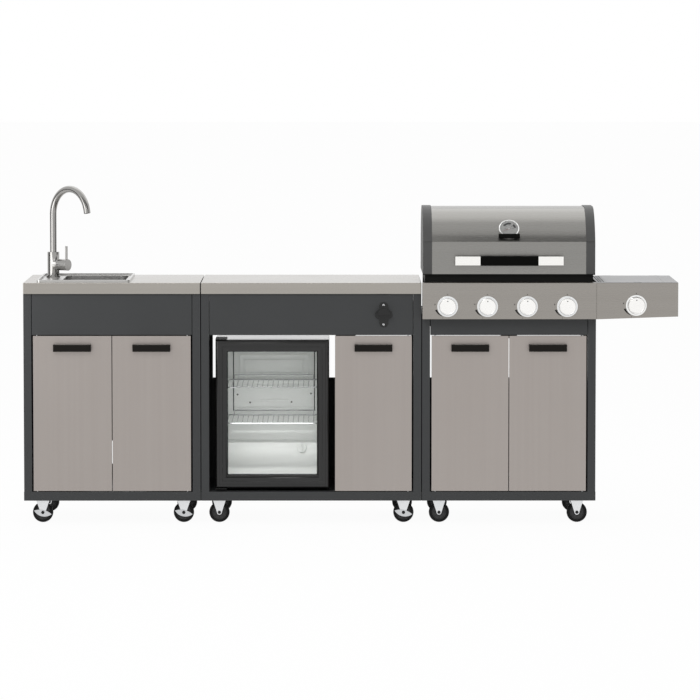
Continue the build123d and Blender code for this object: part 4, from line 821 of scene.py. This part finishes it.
bezels, marks = [], []
for name in knobNames:
    low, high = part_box(name)
    x, z = (low[0] + high[0]) / 2, (low[2] + high[2]) / 2
    seat = facing((x, knob["back"], z), (0, -1, 0))
    dot = turned(knob["dot"], seat @ Matrix.Translation((0, knob["dotRise"], 0)), 20)
    standIn(name, "turned_" + name, gathered([(turned(knob["profile"], seat, 96), 0), (dot, 1)]), [knobSilver, markInk])
    collar = facing((x, ring["front"], z), (0, -1, 0))
    bezels.append((turned(ring["profile"], collar, 96), 0))
    marks.append((arcMark(collar, **ring["wedge"]), 0))
    marks += [(flameMark(collar, **flame), 0) for flame in ring["flames"]]
    marks.append((flatMark(ring["topTick"], collar), 0))
# Bezels that lie loose on the panel give way to the turned rings
dress(
    "control_panel", [panelSteel, zincPlate], edge=0.0018, pick=seatPick,
    drop=lambda low, high: high.x - low.x < grill["bezelWidth"],
)
makePiece("knobRings", gathered(bezels), [bezelChrome], rootBody, "knob_silver")
makePiece("dialMarks", gathered(marks), [markInk], rootBody, "panel_steel")
print("grill and knobs made")

# Lid: brushed shell between cast caps, handle, thermometer with a bare plate
capSeam = {"low": 1.0362, "high": 1.0376, "front": -0.1985, "left": 0.2668, "right": 0.8952, "depth": 0.0012}
lidGrip = {"shortest": 0.15, "longest": 0.3}
gauge = {
    "seat": (0.581, -0.176063, 1.079), "outward": (0, -0.799804, 0.600262), "dial": 0.0088,
    "case": [
        (0, -0.050), (0.004, -0.050), (0.004, 0), (0.0374, 0), (0.038, 0.0008), (0.038, 0.0088), (0.0372, 0.0108),
        (0.0352, 0.0120), (0.0336, 0.0116), (0.0326, 0.0102), (0.0322, 0.0086), (0, 0.0086),
    ],
    "face": disc(0.0321, 0.0085, 0.0088),
    "dome": [
        (0, 0.0104), (0.0318, 0.0098), (0.0330, 0.0102), (0.0300, 0.0114), (0.0220, 0.0128), (0.0110, 0.0136),
        (0, 0.0138),
    ],
    "start": 225, "sweep": -270, "ticks": 25, "longEvery": 4,
    "longTick": rectangle(0.0268, 0.0306, -0.0005, 0.0005), "shortTick": rectangle(0.0284, 0.0306, -0.0003, 0.0003),
    "degrees": (50, 100, 150, 200, 250, 300, 350), "digitCircle": 0.0146, "digitSize": 0.0048, "digitThick": 0.0001,
    "zones": ({"start": 72, "sweep": 73}, {"start": 8, "sweep": 40}), "zoneInner": 0.0188, "zoneOuter": 0.0260,
    "needle": [(-0.007, -0.0012), (0, -0.0013), (0.0255, -0.0002), (0.0255, 0.0002), (0, 0.0013), (-0.007, 0.0012)],
    "needleAt": 205, "needleRise": 0.0006, "needleThick": 0.0003,
    "hub": [(0, 0), (0.0028, 0), (0.0028, 0.0010), (0.0018, 0.0015), (0, 0.0015)],
    "plate": ((-0.0390, -0.0432, 0.0096), (0.0390, -0.0252, 0.0142), 0.0012),
}


# A seam round the outside of each cap
def capGroove(form):
    for height in (capSeam["low"], capSeam["high"]):
        cutAlong(form, (0, 0, height), (0, 0, 1))
    chosen = []
    for face in form.faces:
        x, y, z = face.calc_center_median()
        outside = y < capSeam["front"] or not capSeam["left"] <= x <= capSeam["right"]
        if outside and capSeam["low"] < z < capSeam["high"]:
            chosen.append(face)
    sunk(form, chosen, capSeam["depth"], 1)


def gripPick(low, high, face):
    return int(lidGrip["shortest"] < high.x - low.x < lidGrip["longest"])


def dialDigits(words, place):
    curve = bpy.data.curves.new("digits", "FONT")
    curve.body = words
    curve.size = gauge["digitSize"]
    curve.align_x = "CENTER"
    curve.align_y = "CENTER"
    return raised(curveForm(curve), gauge["digitThick"], place)


# Angles spread evenly over the dial, from its first mark to its last
def dialAngles(count):
    return [gauge["start"] + gauge["sweep"] * index / (count - 1) for index in range(count)]


def thermometer():
    place = facing(gauge["seat"], gauge["outward"])
    dial = place @ Matrix.Translation((0, 0, gauge["dial"]))
    yield turned(gauge["case"], place, 96), 0
    yield turned(gauge["face"], place, 64), 1
    for index, angle in enumerate(dialAngles(gauge["ticks"])):
        bar = gauge["shortTick"] if index % gauge["longEvery"] else gauge["longTick"]
        yield flatMark(bar, dial @ Matrix.Rotation(radians(angle), 4, "Z")), 2
    for degrees, angle in zip(gauge["degrees"], dialAngles(len(gauge["degrees"]))):
        yield dialDigits(str(degrees), dial @ roundAt(gauge["digitCircle"], angle)), 2
    for zone in gauge["zones"]:
        yield arcMark(dial, gauge["zoneInner"], gauge["zoneOuter"], gauge["zoneOuter"], **zone), 2
    turn = Matrix.Translation((0, 0, gauge["needleRise"])) @ Matrix.Rotation(radians(gauge["needleAt"]), 4, "Z")
    yield flatMark(gauge["needle"], dial @ turn, gauge["needleThick"]), 3
    yield turned(gauge["hub"], dial, 24), 0
    yield turned(gauge["dome"], place, 64), 4
    yield softBlock(*gauge["plate"], place), 5


dress("lid_shell", [lidSteel])
dress("lid_end_caps", [capPaint, markInk], edge=0.0025, shape=capGroove)
dress("lid_handle", [handleSteel, gripBlack], edge=0.0012, pick=gripPick)
standIn(
    "lid_thermometer", "lidThermometer", gathered(thermometer()),
    [bezelChrome, dialWhite, markInk, needleRed, gaugeGlass, gripBlack],
)
print("lid made")

# Casters: plated forks and levers, ribbed wheels with a rubber tread
wheel = {
    "half": [
        (0.0042, 0.0120), (0.0105, 0.0120), (0.0115, 0.0098), (0.0240, 0.0088), (0.0250, 0.0115), (0.0262, 0.0120),
        (0.0325, 0.0117), (0.0358, 0.0098), (0.0372, 0.0060), (0.0375, 0.0020),
    ],
    "tread": 0.0256, "axle": 0.0375, "nut": 0.0075,
    "ribs": 8, "ribInner": 0.0108, "ribOuter": 0.0243, "ribHalf": 0.0009, "ribLow": 0.0085, "ribHigh": 0.0112,
    "ribEdge": 0.0004,
}


def wheelRibs():
    for index in range(wheel["ribs"]):
        turn = Matrix.Rotation(2 * pi * index / wheel["ribs"], 4, "Z")
        for side in (1, -1):
            ends = sorted((side * wheel["ribLow"], side * wheel["ribHigh"]))
            first = (wheel["ribInner"], -wheel["ribHalf"], ends[0])
            last = (wheel["ribOuter"], wheel["ribHalf"], ends[1])
            yield softBlock(first, last, wheel["ribEdge"], turn), 1


def casterWheel(nodeName):
    low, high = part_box(nodeName)
    half = wheel["half"]
    profile = half + [(radius, -height) for radius, height in reversed(half)] + half[:1]
    form = turned(profile, Matrix())
    for face in form.faces:
        face.material_index = int(face.calc_center_median().xy.length < wheel["tread"])
    gathered(wheelRibs(), form)
    bmesh.ops.transform(form, matrix=facing((Vector(low) + Vector(high)) / 2, (0, -1, 0)), verts=form.verts)
    standIn(nodeName, "turned_" + nodeName, form, [tyreRubber, hubPlastic])


# Dark nuts on the axle, plated metal elsewhere
def forkPick(low, high, face):
    axle = Vector(((low.x + high.x) / 2, wheel["axle"]))
    return int(max((v.co.xz - axle).length for v in face.verts) < wheel["nut"])


dress("rigid_caster_forks", [zincPlate, plugBlack], edge=0.001, pick=forkPick)
for name in nodes:
    if name.endswith("_fork"):
        dress(name, [zincPlate, plugBlack], edge=0.001, pick=forkPick)
    if name.endswith("_brake"):
        dress(name, [leverSteel], edge=0.0008)
    if name.endswith("_wheel"):
        casterWheel(name)
print("casters made")

# Studio: a pale floor, a white sky, soft lamps, and dark cards that only metal mirrors
studio = {
    "floorSize": 120, "floorTone": 0.97, "floorGlow": 0.96, "skyFill": 0.75, "cardTone": 0.27,
    "lamps": {
        "overheadLamp": {"at": (0, 1.6, 3.4), "aim": (0, -0.1, 1.0), "size": (5.0, 3.0), "power": 31},
        "frontLamp": {"at": (-1.5, -4.6, 4.0), "aim": (0, 0, 0.5), "size": (3.0, 2.0), "power": 80},
        "fridgeLamp": {"at": (-0.286, -0.155, 0.38), "aim": (-0.286, 0.12, 0.27), "size": (0.3, 0.1), "power": 0.42},
        "tapLamp": {"at": (-1.63, -0.42, 1.06), "aim": (-1.10, 0.104, 1.06), "size": (0.5, 0.7), "power": 2.4},
    },
    "cards": {
        "frontCard": {"at": (0, -2.4, 3.3), "aim": (0, 0, 3.3), "size": (7, 2.4)},
        "leftCard": {"at": (-5.5, -1.0, 0.8), "aim": (0, -1.0, 0.8), "size": (4.5, 1.3)},
        "rightCard": {"at": (5.5, -1.0, 0.8), "aim": (0, -1.0, 0.8), "size": (4.5, 1.3)},
    },
    "camera": {
        "at": (-0.037, -16.212, 1.868), "aim": (-0.001, -0.212, 0.6415), "lens": 225.5, "sensor": 36, "reach": 100,
    },
}


# 1 for the rays that should see a white studio, 0 for those that light the object
def seenRays(finish):
    rays = ("Is Camera Ray", "Is Glossy Ray", "Is Transmission Ray")
    first, second, third = [finish.node("LightPath", {}, {}, ray) for ray in rays]
    return first + second + third


def mattPaint(name, tone):
    paint = Finish(name)
    paint.wear({"Base Color": (tone, tone, tone, 1), "Roughness": 0.9, "Specular IOR Level": 0.0})
    return paint


def stageSheet(name, size, place, finish):
    form = bmesh.new()
    bmesh.ops.create_grid(form, x_segments=1, y_segments=1, size=0.5)
    bmesh.ops.scale(form, vec=(*size, 1), verts=form.verts)
    bmesh.ops.transform(form, matrix=place, verts=form.verts)
    mesh = bpy.data.meshes.new(name)
    form.to_mesh(mesh)
    form.free()
    mesh.materials.append(finish)
    sheet = bpy.data.objects.new(name, mesh)
    scene.collection.objects.link(sheet)
    return sheet


def studioFloor():
    paint = mattPaint("floorPaint", studio["floorTone"])
    glow = paint.node("Emission", {}, {"Strength": 1.0})
    share = seenRays(paint) * studio["floorGlow"]
    mixed = paint.node("MixShader", {}, {0: share, 1: Wire(paint, paint.skin.outputs[0]), 2: glow})
    paint.plug(paint.output.inputs[0], mixed)
    stageSheet("studioFloor", (studio["floorSize"],) * 2, Matrix(), paint.material)


def studioSky():
    scene.world = bpy.data.worlds.new("studioSky")
    sky = Finish("studioSky", scene.world)
    fill = sky.node("Background", {}, {"Strength": studio["skyFill"]})
    white = sky.node("Background", {}, {"Color": (1, 1, 1, 1), "Strength": 1.0})
    sky.plug(sky.output.inputs[0], sky.node("MixShader", {}, {0: seenRays(sky), 1: fill, 2: white}))


def wayOf(look):
    return Vector(look["aim"]) - Vector(look["at"])


# Sets up a lamp or a camera where it stands, looking at its aim
def setUp(name, data, look):
    holder = bpy.data.objects.new(name, data)
    holder.location = look["at"]
    holder.rotation_euler = wayOf(look).to_track_quat("-Z", "Y").to_euler()
    scene.collection.objects.link(holder)
    return holder


def softLamp(name, look):
    lamp = bpy.data.lights.new(name, "AREA")
    lamp.shape = "RECTANGLE"
    lamp.size, lamp.size_y = look["size"]
    lamp.energy = look["power"]
    setUp(name, lamp, look)


def darkCard(name, look, finish):
    card = stageSheet(name, look["size"], facing(look["at"], wayOf(look)), finish)
    card.visible_camera = False
    card.visible_diffuse = False
    card.visible_transmission = False
    card.visible_shadow = False


def photoCamera(look):
    camera = bpy.data.cameras.new("photoCamera")
    camera.lens = look["lens"]
    camera.sensor_width = look["sensor"]
    camera.clip_end = look["reach"]
    scene.camera = setUp("photoCamera", camera, look)


studioFloor()
studioSky()
for name, look in studio["lamps"].items():
    softLamp(name, look)
cardPaint = mattPaint("cardPaint", studio["cardTone"]).material
for name, look in studio["cards"].items():
    darkCard(name, look, cardPaint)
photoCamera(studio["camera"])
scene.view_settings.view_transform = "Standard"
print("camera and lamps set")
